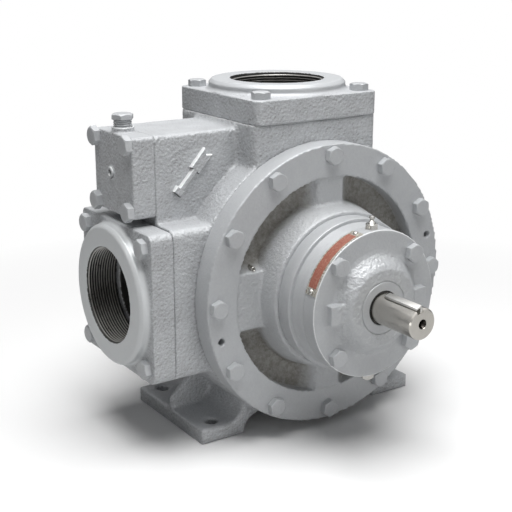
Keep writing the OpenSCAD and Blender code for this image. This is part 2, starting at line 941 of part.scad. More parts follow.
module rotor() {
    color("gray")
        difference() {
            ring(rotor_r, core_r + running_gap, -rotor_half, rotor_half);
            for (i = [0 : vane_count - 1])
                turned(vane_angle(i))
                    translate([slot_r, -rotor_half - cut, -vane_t / 2 - running_gap])
                        cube([rotor_r, 2 * rotor_half + 2 * cut, vane_t + 2 * running_gap]);
            turned(0)
                translate([core_r - key_h / 2 - fit_gap, -rotor_half - cut, -key_w / 2 - fit_gap])
                    cube([key_h + 2 * fit_gap, 2 * rotor_half + 2 * cut, key_w + 2 * fit_gap]);
        }
}

module vane(i) {
    color("saddlebrown")
        intersection() {
            turned(vane_angle(i))
                translate([vane_root_r, -rotor_half, -vane_t / 2])
                    cube([rotor_r, 2 * rotor_half, vane_t]);
            ring(vane_tip_r, 0, -rotor_half, rotor_half);
        }
}

module rotor_key() {
    color("dimgray")
        turned(0)
            translate([core_r - key_h / 2, -rotor_half, -key_w / 2])
                cube([key_h, 2 * rotor_half, key_w]);
}

// Shaft, bearings and seals

// Keyway that opens at the end of the shaft and runs out in a half circle
module keyway() {
    straight = keyway_len - keyway_w / 2;
    turned(keyway_angle)
        translate([drive_r - keyway_depth, -drive_reach, 0]) {
            translate([0, -cut, -keyway_w / 2])
                cube([drive_r, straight + cut, keyway_w]);
            translate([0, straight, 0])
                rotate([0, 90, 0])
                    cylinder(d = keyway_w, h = drive_r, $fn = 48);
        }
}

// Square-ended key that stands in the keyway's straight part
module drive_key() {
    color("gainsboro")
        turned(keyway_angle)
            translate([drive_r - keyway_depth, -drive_reach + 0.5, -keyway_w / 2 + key_gap])
                cube([drive_key_h, keyway_len - keyway_w / 2 - 0.5, keyway_w - 2 * key_gap]);
}

module shaft() {
    centre_r = 5.5;
    centre_depth = 13;
    color("lightgray")
        difference() {
            revolve()
                polygon([[0, -drive_reach], [drive_r - shaft_chamfer, -drive_reach],
                    [drive_r, -drive_reach + shaft_chamfer], [drive_r, -seal_face],
                    [seal_land_r, -seal_face], [seal_land_r, -journal_end],
                    [journal_r, -journal_end], [journal_r, -journal_start], [core_r, -journal_start],
                    [core_r, journal_start], [journal_r, journal_start], [journal_r, journal_end],
                    [0, journal_end]]);
            keyway();
            revolve()
                polygon([[0, -drive_reach - cut], [centre_r + cut * 0.6, -drive_reach - cut],
                    [2, -drive_reach + 5], [2, -drive_reach + centre_depth - 1], [0, -drive_reach + centre_depth]]);
            turned(0)
                translate([core_r - key_h / 2 - fit_gap, -rotor_half - 0.5, -key_w / 2 - fit_gap])
                    cube([key_h, 2 * rotor_half + 1, key_w + 2 * fit_gap]);
        }
}

// Race with a groove for the balls, between two radii
module race(r_in, r_out) {
    revolve()
        difference() {
            translate([r_in, -bearing_front])
                square([r_out - r_in, bearing_w]);
            translate([pitch_r, -(bearing_front + bearing_back) / 2])
                circle(r = ball_r + race_gap, $fn = 48);
        }
}

module outer_race() {
    race(pitch_r + race_land + 3, bearing_r);
}

module inner_race() {
    race(journal_r + running_gap, pitch_r - race_land - 3);
}

// Balls held together by their cage
module ball_set() {
    middle = -(bearing_front + bearing_back) / 2;
    ring(pitch_r + 2, pitch_r - 2, middle - 2.5, middle + 2.5);
    for (i = [0 : ball_count - 1])
        turned(i * 360 / ball_count)
            translate([pitch_r, middle, 0])
                sphere(r = ball_r, $fn = 32);
}

module front_bearing_outer_race() { color("gainsboro") outer_race(); }
module front_bearing_inner_race() { color("gainsboro") inner_race(); }
module front_bearing_balls() { color("gainsboro") ball_set(); }
module rear_bearing_outer_race() { color("gainsboro") mirror([0, 1, 0]) outer_race(); }
module rear_bearing_inner_race() { color("gainsboro") mirror([0, 1, 0]) inner_race(); }
module rear_bearing_balls() { color("gainsboro") mirror([0, 1, 0]) ball_set(); }

// Fixed seat of the mechanical seal
module seal_seat() {
    ring(seal_chamber_d / 2 - fit_gap, core_r + 1, -seal_seat_front, -seal_seat_back);
}

// Rotating head of the mechanical seal, stepped like a seal with its spring cup
module seal_head() {
    revolve()
        polygon([[core_r + running_gap, -seal_seat_back + running_gap], [core_r + 6, -seal_seat_back + running_gap],
            [core_r + 6, -seal_seat_back + 5], [core_r + 10, -seal_seat_back + 5],
            [core_r + 10, -seal_head_back - 8], [core_r + 8, -seal_head_back],
            [core_r + running_gap, -seal_head_back]]);
}

module front_seal_seat() { color("dimgray") seal_seat(); }
module front_seal_head() { color("lightgray") seal_head(); }
module rear_seal_seat() { color("dimgray") mirror([0, 1, 0]) seal_seat(); }
module rear_seal_head() { color("lightgray") mirror([0, 1, 0]) seal_head(); }

module shaft_lip_seal() {
    back = -boss_face + lip_seal_t - eps;
    color("dimgray")
        revolve()
            polygon([[seal_land_r + running_gap, -seal_face + 3], [seal_land_r + 2, -seal_face],
                [lip_seal_r, -seal_face], [lip_seal_r, back], [lip_seal_r - 3, back],
                [seal_land_r + 3, -seal_face + 5], [seal_land_r + running_gap, -seal_face + 4]]);
}

module locknut() {
    slots = 4;
    difference() {
        ring(cavity_r - 4, journal_r + running_gap, -nut_front, -bearing_front);
        for (i = [0 : slots - 1])
            turned(i * 360 / slots)
                translate([cavity_r - 8, -nut_front - cut, -3])
                    cube([8, nut_t * 0.6, 6]);
    }
}

module front_locknut() { color("dimgray") locknut(); }
module rear_locknut() { color("dimgray") mirror([0, 1, 0]) locknut(); }

// Round-section ring in the groove of a head's spigot
module head_ring() {
    revolve()
        translate([bore_r - ring_section_r - 0.1, -(casing_end + plate_back) / 2])
            circle(r = ring_section_r - 0.1, $fn = 24);
}

module front_head_ring() { color("dimgray") head_ring(); }
module rear_head_ring() { color("dimgray") mirror([0, 1, 0]) head_ring(); }

// Fasteners

module bolt_on_face(radius, angle, face, shank, tightened_to) {
    translate([radius * cos(angle), -face, shaft_h + radius * sin(angle)])
        rotate([90, 0, 0])
            hex_bolt(shank, tightened_to);
}

module head_bolts() {
    for (i = [0 : head_bolt_count - 1])
        bolt_on_face(head_bolt_r, head_bolt_angle(i), ring_face, head_flange_t + bolt_grip, tightened(i));
}

module cover_bolts() {
    for (i = [0 : 3])
        bolt_on_face(cover_bolt_r, cover_bolt_angle(i), cover_face, cover_t + housing_len + bolt_grip,
            tightened(i));
}

module front_head_bolts() { color("silver") head_bolts(); }
module rear_head_bolts() { color("silver") mirror([0, 1, 0]) head_bolts(); }
module front_cover_bolts() { color("silver") cover_bolts(); }
module rear_cover_bolts() { color("silver") mirror([0, 1, 0]) cover_bolts(); }

module flange_bolts() {
    port_bolt_spots()
        translate([0, 0, flange_t])
            hex_bolt(flange_t + bolt_grip, 15);
}

module top_flange_bolts() { color("silver") on_top_port() flange_bolts(); }
module side_flange_bolts() { color("silver") on_side_port() flange_bolts(); }

module valve_cover_bolts() {
    color("silver")
        on_valve_joint()
            valve_bolt_spots()
                translate([0, 0, valve_cover_t])
                    hex_bolt(valve_cover_t + bolt_grip, 5);
}

// Fittings

grease_y = housing_end + cover_t / 2;
nipple_r = 4;

// Hex plug in the boss on top of the valve cover, with part of its neck showing
module gauge_plug() {
    neck_out = 8;
    hex_h = 6;
    long = plug_depth + plug_boss_h + neck_out;
    color("gainsboro")
        translate([-valve_joint - valve_cover_t / 2, 0, shaft_h + valve_top - plug_depth]) {
            cylinder(d = plug_d, h = long, $fn = 48);
            translate([0, 0, long])
                rotate([0, 0, -34])
                    cylinder(d = plug_af / cos(30), h = hex_h, $fn = 6);
        }
}

// Grease nipple or relief fitting on the cover's rim
module rim_fitting(angle, tip_r, tip_h) {
    flat_drop = 0.6;
    translate([0, -grease_y, shaft_h])
        rotate([0, 90 - angle, 0])
            translate([0, 0, cover_r - flat_drop]) {
                translate([0, 0, -10])
                    cylinder(r = nipple_r, h = 10 + flat_drop + eps, $fn = 32);
                translate([0, 0, flat_drop])
                    cylinder(d = nipple_af / cos(30), h = 6, $fn = 6);
                translate([0, 0, flat_drop + 6])
                    cylinder(r = tip_r, h = tip_h, $fn = 32);
            }
}

module front_grease_fitting() { color("gainsboro") rim_fitting(90, 3.2, 8.5); }
module front_grease_relief() { color("gainsboro") rim_fitting(270, 3.6, 2.5); }
module rear_grease_fitting() { color("gainsboro") mirror([0, 1, 0]) rim_fitting(90, 3.2, 8.5); }

// Small bright fitting on the left web of the drive-end head
web_fitting_x = -101.5;
web_fitting_z = 35;
web_fitting_r = 3;
web_fitting_y = -ring_face + 9;

module web_fitting_hole() {
    translate([web_fitting_x, -ring_face, shaft_h + web_fitting_z])
        rotate([-90, 0, 0])
            cylinder(r = web_fitting_r + fit_gap, h = pocket_depth, $fn = 32);
}

module web_bleed_fitting() {
    color("gainsboro")
        translate([web_fitting_x, web_fitting_y, shaft_h + web_fitting_z])
            rotate([90, 0, 0])
                difference() {
                    translate([0, 0, -8])
                        cylinder(r = web_fitting_r, h = 11, $fn = 32);
                    cylinder(r = web_fitting_r / 2, h = 4, $fn = 32);
                }
}

casing();
front_head();
rear_head();
front_bearing_housing();
rear_bearing_housing();
front_bearing_cover();
rear_bearing_cover();
top_flange();
side_flange();
relief_valve_cover();
liner();
front_side_plate();
rear_side_plate();
rotor();
rotor_key();
shaft();
drive_key();
vane(0);  // vane_1
vane(1);  // vane_2
vane(2);  // vane_3
vane(3);  // vane_4
vane(4);  // vane_5
vane(5);  // vane_6
front_bearing_outer_race();
front_bearing_inner_race();
front_bearing_balls();
rear_bearing_outer_race();
rear_bearing_inner_race();
rear_bearing_balls();
front_seal_seat();
front_seal_head();
rear_seal_seat();
rear_seal_head();
shaft_lip_seal();
front_locknut();
rear_locknut();
front_head_ring();
rear_head_ring();
top_flange_gasket();
side_flange_gasket();
valve_cover_gasket();
valve_seat();
valve_poppet();
valve_spring();
valve_spring_guide();
front_head_bolts();
rear_head_bolts();
front_cover_bolts();
rear_cover_bolts();
top_flange_bolts();
side_flange_bolts();
valve_cover_bolts();
gauge_plug();
front_grease_fitting();
front_grease_relief();
rear_grease_fitting();
web_bleed_fitting();
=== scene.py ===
import json
import math

import bmesh
import bpy
import numpy as np
from mathutils import Matrix, Vector


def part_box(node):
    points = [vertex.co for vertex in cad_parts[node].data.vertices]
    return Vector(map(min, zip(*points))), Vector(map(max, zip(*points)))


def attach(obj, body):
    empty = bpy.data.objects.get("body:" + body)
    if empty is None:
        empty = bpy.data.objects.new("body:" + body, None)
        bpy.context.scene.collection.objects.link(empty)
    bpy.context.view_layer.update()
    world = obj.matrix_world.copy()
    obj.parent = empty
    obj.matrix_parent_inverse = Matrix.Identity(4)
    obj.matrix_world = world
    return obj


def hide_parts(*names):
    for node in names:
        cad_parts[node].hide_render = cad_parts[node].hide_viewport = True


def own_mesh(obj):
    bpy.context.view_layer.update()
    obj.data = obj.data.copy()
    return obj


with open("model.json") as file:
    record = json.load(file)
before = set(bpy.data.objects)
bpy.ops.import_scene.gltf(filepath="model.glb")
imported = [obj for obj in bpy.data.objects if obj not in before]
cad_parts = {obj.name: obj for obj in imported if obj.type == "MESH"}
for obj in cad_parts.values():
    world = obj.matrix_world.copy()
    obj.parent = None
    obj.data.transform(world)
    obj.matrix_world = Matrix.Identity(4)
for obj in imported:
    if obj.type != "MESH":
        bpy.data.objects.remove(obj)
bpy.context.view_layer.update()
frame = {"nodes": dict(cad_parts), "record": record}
print("frame loaded:", len(frame["nodes"]), "solids")

shaftZ = 0.174  # height of the shaft's axis
shaftLine = (0.0, 0.0, shaftZ)
scene = bpy.context.scene


# Shader helpers
class Wire:  # one socket or number that takes part in shader sums
    def __init__(self, paint, out):
        self.paint, self.out = paint, out

    def __add__(self, other):
        return self.paint.sums("ADD", self, other)

    def __radd__(self, other):
        return self.paint.sums("ADD", other, self)

    def __sub__(self, other):
        return self.paint.sums("SUBTRACT", self, other)

    def __rsub__(self, other):
        return self.paint.sums("SUBTRACT", other, self)

    def __mul__(self, other):
        return self.paint.sums("MULTIPLY", self, other)

    def __rmul__(self, other):
        return self.paint.sums("MULTIPLY", other, self)

    def __truediv__(self, other):
        return self.paint.sums("DIVIDE", self, other)

    def __pow__(self, other):
        return self.paint.sums("POWER", self, other)


class Paint:  # builds the nodes of one material, or of the world
    def __init__(self, owner):
        owner.use_nodes = True
        self.owner, self.tree = owner, owner.node_tree
        self.tree.nodes.clear()

    def node(self, kind, settings=None, **values):
        made = self.tree.nodes.new("ShaderNode" + kind)
        for key, value in (settings or {}).items():
            if key == "stops":
                ramp = made.color_ramp
                while len(ramp.elements) < len(value):
                    ramp.elements.new(0.5)
                for element, (at, colour) in zip(ramp.elements, value):
                    element.position = at
                    element.color = colour
            else:
                setattr(made, key, value)
        for key, value in values.items():
            self.plug(made, key, value)
        return made

    def plug(self, made, key, value):  # at0, at1 and so on name a socket by its number
        key = key.replace("_", " ")
        socket = made.inputs[int(key[2:])] if key.startswith("at") else made.inputs[key]
        if isinstance(value, Wire):
            self.tree.links.new(value.out, socket)
        else:
            socket.default_value = value

    def wire(self, made, name):
        return Wire(self, made.outputs[name])

    def sums(self, operation, a, b):
        made = self.node("Math", {"operation": operation}, at0=a, at1=b)
        return Wire(self, made.outputs[0])

    def least(self, a, b):
        return self.sums("MINIMUM", a, b)

    def most(self, a, b):
        return self.sums("MAXIMUM", a, b)

    def bare(self, value):  # the value without its sign
        return self.sums("ABSOLUTE", value, 0.0)

    def ease(self, value, low, high):  # 0 below low, 1 above high, even between
        return self.least(self.most((value - low) / (high - low), 0.0), 1.0)

    def place(self):
        return self.wire(self.node("TexCoord"), "Object")

    def part(self, vector, letter):
        return self.wire(self.node("SeparateXYZ", Vector=vector), letter)

    def noise(self, at, pattern):
        size, detail, rough = patterns[pattern]
        made = self.node("TexNoise", {"noise_dimensions": "3D"}, Vector=at, Scale=1.0 / size, Detail=detail,
                         Roughness=rough)
        return self.wire(made, "Fac")

    def ramp(self, value, stops):
        return self.wire(self.node("ValToRGB", {"stops": stops}, Fac=value), "Color")

    def blend(self, share, a, b):
        made = self.node("Mix", {"data_type": "RGBA"}, at0=share, at6=a, at7=b)
        return Wire(self, made.outputs[2])

    def bump(self, height, distance, under=None):  # relief of so many metres, over another relief
        made = self.node("Bump", Height=height, Distance=distance, Strength=1.0)
        if under:
            self.plug(made, "Normal", under)
        return self.wire(made, "Normal")

    def close(self, shader, end="OutputMaterial"):
        self.tree.links.new(shader.outputs[0], self.node(end).inputs[0])

    def closeMixed(self, share, one, two, end="OutputMaterial"):
        mix = self.node("MixShader", Fac=share)
        self.tree.links.new(one.outputs[0], mix.inputs[1])
        self.tree.links.new(two.outputs[0], mix.inputs[2])
        self.close(mix, end)

    def finish(self, **values):
        self.close(self.node("BsdfPrincipled", **values))
        return self.owner


def newPaint(name):
    return Paint(bpy.data.materials.new(name))


def grey(level):
    return (level, level, level, 1.0)


def darker(colour, share):
    return tuple(c * share for c in colour[:3]) + (1.0,)


# Noise patterns: size in metres, detail, and how strong the detail is
patterns = {
    "sand": (0.0030, 1.5, 0.55),
    "coarseSand": (0.0042, 1.5, 0.55),
    "pocketSand": (0.0042, 3.0, 0.62),
    "grit": (0.0021, 1.0, 0.5),
    "skin": (0.0026, 3.0, 0.6),
    "film": (0.014, 2.0, 0.5),
    "wave": (0.024, 2.0, 0.5),
    "patches": (0.05, 2.0, 0.5),
    "cloud": (0.012, 3.0, 0.6),
    "oil": (0.006, 3.0, 0.6),
    "spots": (0.004, 3.0, 0.6),
    "pores": (0.002, 3.0, 0.6),
    "turning": (0.0005, 2.0, 0.5),
    "wear": (0.0022, 4.0, 0.7),
}

# Silver-grey paint: the tones that its thick and thin places take; light and dark are painted highlight and
# painted shade
paintLook = {
    "colour": (0.53, 0.545, 0.555, 1.0),
    "cast": (0.54, 0.555, 0.57, 1.0),
    "shade": (0.47, 0.48, 0.495, 1.0),
    # boss: lighter tone of turned boss faces, a painted reflection; also the lightest tone of the grain
    "boss": (0.68, 0.70, 0.71, 1.0),
    "light": (0.90, 0.915, 0.92, 1.0),
    "dark": (0.16, 0.16, 0.165, 1.0),
    "thin": (0.475, 0.485, 0.505, 1.0),
    "hollow": grey(0.28),
    "film": [(0.25, "thin"), (0.65, "colour")],  # places on the ramp and their tones
    "metallic": 0.15,
    "roughness": 0.36,
    "castRoughness": 0.47,
    "uneven": 0.1,  # how much the roughness varies
}


def paintRamp(p, level, stops):
    return p.ramp(level, [(at, paintLook[tone]) for at, tone in stops])


# distance from the line along "X", "Y" or "Z" through the shaft's middle, and the place on that line
def awayFrom(p, at, along):
    parts = p.node("SeparateXYZ", Vector=at)
    line = {"X": p.wire(parts, "X"), "Y": p.wire(parts, "Y"), "Z": p.wire(parts, "Z") - shaftZ}
    ahead = line.pop(along)
    one, two = line.values()
    return (one * one + two * two) ** 0.5, ahead


def upward(p):  # how far a surface faces up, from -1 to 1
    return p.part(p.wire(p.node("NewGeometry"), "Normal"), "Z")


paintedLightStep = (-0.0005, -0.0003, 0.0009)


# the grain less itself a little higher up and to the left: painted light and shade on the grain, lighter on
# the slopes that face up and to the left and darker below them
def paintedReliefLight(p, at, grain, pattern):
    shifted = p.node("VectorMath", {"operation": "ADD"}, at0=at, at1=paintedLightStep)
    return grain - p.noise(p.wire(shifted, "Vector"), pattern)


# Painted iron as cast in sand
castLook = {
    "grit": 0.25,  # share of the finer grit in the grain
    "calm": 0.55, "patchy": 0.6,  # depth of the grain in its calm places, and how much more in patches
    "patches": (0.38, 0.62),
    "turned": 0.15,  # what is left of the grain on turned faces
    "fade": 0.002,  # width of the change from turned to cast
    "flat": (0.5, 0.9),  # faces that look up this far lose the painted light and shade of the relief
    # waveTone and gritTone set the random tone, the last value the strength of the painted light and shade on
    # the grain
    "waveTone": 0.5, "gritTone": 0.3, "paintedReliefLight": 1.3,
    "tones": [(0.0, "hollow"), (0.4, "shade"), (0.62, "cast"), (1.0, "boss")],
    "raisedPaintedHighlight": (0.1, 0.45), "raisedPaintedShade": (0.15, 0.5),  # slopes of raised trim that get a painted highlight (facing up) and painted shade (facing down)
}

# Painted highlight along the upper edge of the casing's top joint, as a height over the shaft's axis
ledgeHighlightLook = {"height": 0.1885, "below": 0.0012, "above": 0.0006, "fade": 0.0004, "clear": (0.075, 0.078)}


# bores lists round holes made dark with painted shade and smooth lists turned bosses, each by its axis and
# radius
def castPaint(name, grain=0.0018, lumps=0.0008, bores=(), smooth=(), raised=False, boss="boss", paintedLedge=False):
    p, look = newPaint(name), castLook
    at = p.place()
    sand, grit, wave = p.noise(at, "sand"), p.noise(at, "grit"), p.noise(at, "wave")
    patches = p.ease(p.noise(at, "patches"), *look["patches"])
    cast = 1.0
    for along, radius in smooth:
        cast = p.least(p.ease(awayFrom(p, at, along)[0], radius, radius + look["fade"]), cast)
    depth = (look["calm"] + look["patchy"] * patches) * (look["turned"] + (1.0 - look["turned"]) * cast)
    height = p.bump((sand * (1.0 - look["grit"]) + grit * look["grit"]) * depth, grain, p.bump(wave, lumps))
    steep = 1.0 - p.ease(upward(p), *look["flat"])
    level = 0.5 + (wave - 0.5) * look["waveTone"] + (grit - 0.5) * look["gritTone"]
    # painted light and shade of the grain, lit from up and to the left
    level = level + paintedReliefLight(p, at, sand, "sand") * cast * steep * look["paintedReliefLight"]
    # turned bosses take the given boss tone, which where it is lighter is a painted reflection
    tone = p.blend(cast, paintLook[boss], paintRamp(p, level, look["tones"]))
    if paintedLedge:
        # painted highlight along the top joint's edge
        tone = p.blend(paintedLedgeHighlight(p, at), tone, paintLook["light"])
    if raised:
        # painted highlight on the raised trim's slopes that face up, painted shade on those that face down
        tone = p.blend(p.ease(upward(p), *look["raisedPaintedHighlight"]), tone, paintLook["light"])
        tone = p.blend(p.ease(0.0 - upward(p), *look["raisedPaintedShade"]), tone, paintLook["dark"])
    if bores:
        # passages go dark with painted shade
        tone = p.blend(insideBores(p, at, bores), tone, boreLook["colour"])
    rough = paintLook["roughness"] + (paintLook["castRoughness"] - paintLook["roughness"]) * cast
    return p.finish(Base_Color=tone, Metallic=paintLook["metallic"],
                    Roughness=rough + paintLook["uneven"] * grit, Normal=height)


def paintedLedgeHighlight(p, at):  # 1 on the thin edge over the casing's top joint, outside the turned boss, where the painted highlight goes
    away, ahead = awayFrom(p, at, "Z")
    low, high = ledgeHighlightLook["height"] - ledgeHighlightLook["below"], ledgeHighlightLook["height"] + ledgeHighlightLook["above"]
    lip = p.ease(ahead, low, low + ledgeHighlightLook["fade"]) * p.ease(high - ahead, 0.0, ledgeHighlightLook["fade"])
    return lip * p.ease(away, *ledgeHighlightLook["clear"])


# Threads and passages of the ports, dark inside with painted shade: crest and root are radii between which the
# thread goes dark, deep is where a passage's painted shade starts, from the shaft's middle
boreLook = {"colour": (0.035, 0.034, 0.032, 1.0), "thread": (0.34, 0.33, 0.315, 1.0),
            "worn": (0.60, 0.59, 0.57, 1.0), "crest": 0.0538, "root": 0.0549, "deep": (0.09, 0.1),
            "fade": 0.0004, "metallic": 0.9, "roughness": 0.24}


def insideBores(p, at, bores):  # 1 inside round bores along "X" (to the left) or "Z" (upwards)
    hollow = 0.0
    for along, radius in bores:
        away, ahead = awayFrom(p, at, along)
        depth = 0.0 - ahead if along == "X" else ahead
        inside = p.ease(radius - away, 0.0, boreLook["fade"]) * p.ease(depth, *boreLook["deep"])
        hollow = p.most(inside, hollow)
    return hollow


def threadPaint(name):  # oiled steel threads, bright on their crests and black in their roots, which is painted shade
    p, look = newPaint(name), boreLook
    at = p.place()
    away = p.least(awayFrom(p, at, "X")[0], awayFrom(p, at, "Z")[0])
    oil = p.noise(at, "oil")
    tone = p.blend(p.ease(away, look["crest"], look["root"]), p.blend(oil, look["thread"], look["worn"]),
                   look["colour"])
    return p.finish(Base_Color=tone, Metallic=look["metallic"],
                    Roughness=look["roughness"] + paintLook["uneven"] * oil)


# The same paint over machined iron: skin is its fine orange peel, and share that peel's part of the tone
smoothLook = {"film": 0.0002, "skin": 0.00036, "share": 0.6, "roughness": 0.34}


def smoothPaint(name, waves=smoothLook["film"]):
    p, look = newPaint(name), smoothLook
    at = p.place()
    film, skin = p.noise(at, "film"), p.noise(at, "skin")
    height = p.bump(skin, look["skin"], p.bump(film, waves))
    tone = paintRamp(p, film * (1.0 - look["share"]) + skin * look["share"], paintLook["film"])
    return p.finish(Base_Color=tone, Metallic=paintLook["metallic"],
                    Roughness=look["roughness"] + paintLook["uneven"] * skin, Normal=height)


# The turned bearing cover with its rough-cast boss and lugs: rim and face bound the painted highlight along
# its outer edge
coverLook = {"boss": 0.0625, "fade": 0.007, "grain": 0.0016, "film": 0.0003, "skin": 0.0004, "share": 0.6,
             "turned": 0.15, "rim": (0.0822, 0.0829), "face": (0.1893, 0.1901), "roughness": 0.36,
             "uneven": 0.08, "tones": [(0.0, "shade"), (0.25, "thin"), (0.65, "colour"), (0.9, "boss")]}


def coverPaint(name):
    p, look = newPaint(name), coverLook
    at = p.place()
    away, ahead = awayFrom(p, at, "Y")
    rough = look["turned"] + (1.0 - look["turned"]) * p.ease(look["boss"] - away, 0.0, look["fade"])
    # painted highlight along the cover's outer edge
    edge = p.ease(away, *look["rim"]) * p.ease(p.bare(ahead), *look["face"])
    sand, skin, film = p.noise(at, "coarseSand"), p.noise(at, "skin"), p.noise(at, "film")
    height = p.bump(skin, look["skin"], p.bump(film, look["film"]))
    height = p.bump(sand * rough, look["grain"], height)
    level = film * (1.0 - look["share"]) + skin * look["share"]
    # painted light and shade of the boss's sand
    level = level + paintedReliefLight(p, at, sand, "coarseSand") * rough
    tone = p.blend(edge, paintRamp(p, level, look["tones"]), paintLook["light"])
    return p.finish(Base_Color=tone, Metallic=paintLook["metallic"],
                    Roughness=look["roughness"] + look["uneven"] * skin, Normal=height)


# Machined ring, rough hub and webs, and brown pockets darkened with dust and painted shade: depths are
# measured back from the ring's face
headLook = {"ringFace": 0.110, "ring": 0.1285, "fade": 0.0015, "deep": (0.006, 0.016), "ragged": 0.012,
            "share": 0.6, "skin": 0.0004, "grain": 0.0018, "pocket": (0.34, 0.335, 0.315, 1.0),
            "dustAndShade": (0.21, 0.20, 0.18, 1.0), "dustAndShadeStops": (0.38, 0.62), "roughness": 0.38, "dull": 0.2}


def headPaint(name):
    p, look = newPaint(name), headLook
    at = p.place()
    away, ahead = awayFrom(p, at, "Y")
    sand, skin, cloud = p.noise(at, "pocketSand"), p.noise(at, "skin"), p.noise(at, "cloud")
    inside = p.ease(look["ring"] - away, 0.0, look["fade"])
    depth = look["ringFace"] - p.bare(ahead) + (cloud - 0.5) * look["ragged"]
    # deep is where the pockets take their brown dust and painted shade
    deep = p.ease(depth, *look["deep"]) * inside
    clouds = cloud * (1.0 - look["share"])
    tone = paintRamp(p, skin * look["share"] + clouds, paintLook["film"])
    dustAndShade = p.ramp(sand * look["share"] + clouds, list(zip(look["dustAndShadeStops"], (look["dustAndShade"], look["pocket"]))))
    height = p.bump(sand * inside, look["grain"], p.bump(skin, look["skin"]))
    return p.finish(Base_Color=p.blend(deep, tone, dustAndShade), Metallic=paintLook["metallic"], Normal=height,
                    Roughness=look["roughness"] + look["dull"] * deep + paintLook["uneven"] * skin)


# Ground steel turned round Y: stretch draws the noise into rings, slotEnd is the shaft's surface
steelLook = {"stretch": (0.05, 1.0, 0.05), "grooves": 0.00008, "stained": 0.82, "uneven": 0.12,
             "hole": (0.05, 0.045, 0.04, 1.0), "slot": (0.10, 0.095, 0.085, 1.0), "slotEnd": 0.0189,
             "holeFade": 0.0003, "slotFade": 0.0004, "sideFrom": 0.0005, "sideTo": 0.0002}


# hollow is the radius of a dark centre hole, sides the half width of a key whose sides get painted shade where
# they sit in its slot
def groundSteel(name, colour, roughness, hollow=0.0, sides=0.0):
    p, look = newPaint(name), steelLook
    at = p.place()
    rings = p.noise(p.wire(p.node("Mapping", Vector=at, Scale=look["stretch"]), "Vector"), "turning")
    stain = p.noise(at, "cloud")
    away = awayFrom(p, at, "Y")[0]
    tone = p.blend(stain, darker(colour, look["stained"]), colour)
    if hollow:
        tone = p.blend(p.ease(hollow - away, 0.0, look["holeFade"]), tone, look["hole"])
    if sides:
        # painted shade on the key's sides down in its slot
        beside = p.ease(p.bare(p.part(at, "X")), sides - look["sideFrom"], sides - look["sideTo"])
        tone = p.blend(beside * p.ease(look["slotEnd"] - away, 0.0, look["slotFade"]), tone, look["slot"])
    return p.finish(Base_Color=tone, Metallic=1.0, Roughness=roughness + look["uneven"] * stain,
                    Normal=p.bump(rings, look["grooves"]))


plainLook = {"metalDark": 0.8, "mattDark": 0.75, "uneven": 0.1, "pores": 0.0001}


def plainMetal(name, colour, roughness, metallic=1.0):
    p = newPaint(name)
    spots = p.noise(p.place(), "spots")
    return p.finish(Base_Color=p.blend(spots, darker(colour, plainLook["metalDark"]), colour),
                    Metallic=metallic, Roughness=roughness + plainLook["uneven"] * spots)


def plainMatt(name, colour, roughness):
    p = newPaint(name)
    pores = p.noise(p.place(), "pores")
    return p.finish(Base_Color=p.blend(pores, darker(colour, plainLook["mattDark"]), colour),
                    Roughness=roughness + plainLook["uneven"] * pores,
                    Normal=p.bump(pores, plainLook["pores"]))


# Bare band on the front cover's rim: its span round the rim in degrees, its edges along the shaft and the
# width of its metal border, along the shaft and (endBorder, in degrees) at its ends
bandLook = {"from": 102.5, "to": 164.4, "front": -0.1895, "back": -0.1721, "border": 0.0021, "endBorder": 5.5,
            "lacquer": [(0.3, (0.30, 0.085, 0.055, 1.0)), (0.5, (0.36, 0.13, 0.09, 1.0)),
                        (0.72, (0.50, 0.27, 0.21, 1.0))],
            "metal": [(0.35, (0.24, 0.20, 0.15, 1.0)), (0.55, (0.70, 0.68, 0.62, 1.0))],
            "metallic": 0.7, "lacquered": 0.6, "roughness": 0.32, "uneven": 0.15, "scratches": 0.00006}


def bandPaint(name):  # red-brown lacquer with a bare metal border, no lettering
    p, look = newPaint(name), bandLook
    at = p.place()
    turn = p.sums("ARCTAN2", p.part(at, "Z") - shaftZ, p.part(at, "X"))
    half = (look["back"] - look["front"]) / 2 - look["border"]
    reach = math.radians((look["to"] - look["from"]) / 2 - look["endBorder"])
    off = p.bare(p.part(at, "Y") - (look["front"] + look["back"]) / 2)
    swing = p.bare(turn - math.radians((look["from"] + look["to"]) / 2))
    inside = p.sums("LESS_THAN", off, half) * p.sums("LESS_THAN", swing, reach)
    wear = p.noise(at, "wear")
    tone = p.blend(inside, p.ramp(wear, look["metal"]), p.ramp(wear, look["lacquer"]))
    return p.finish(Base_Color=tone, Metallic=look["metallic"] - look["lacquered"] * inside,
                    Roughness=look["roughness"] + look["uneven"] * wear,
                    Normal=p.bump(wear, look["scratches"]))


# Radii of the rounds that the paints and the castings share
radii = {"headRing": 0.165, "headPocket": 0.128, "chamber": 0.122, "passage": 0.05, "portHole": 0.055,
         "portBoss": 0.0805, "cover": 0.0835}
boreEdge, bossEdge = 0.0006, 0.001  # how far past a hole's or a boss's radius its own paint reaches


def flangePaint(name, along, boss="boss"):
    return castPaint(name, 0.0018, 0.0006, [(along, radii["portHole"] + boreEdge)],
                     [(along, radii["portBoss"] + bossEdge)], boss=boss)


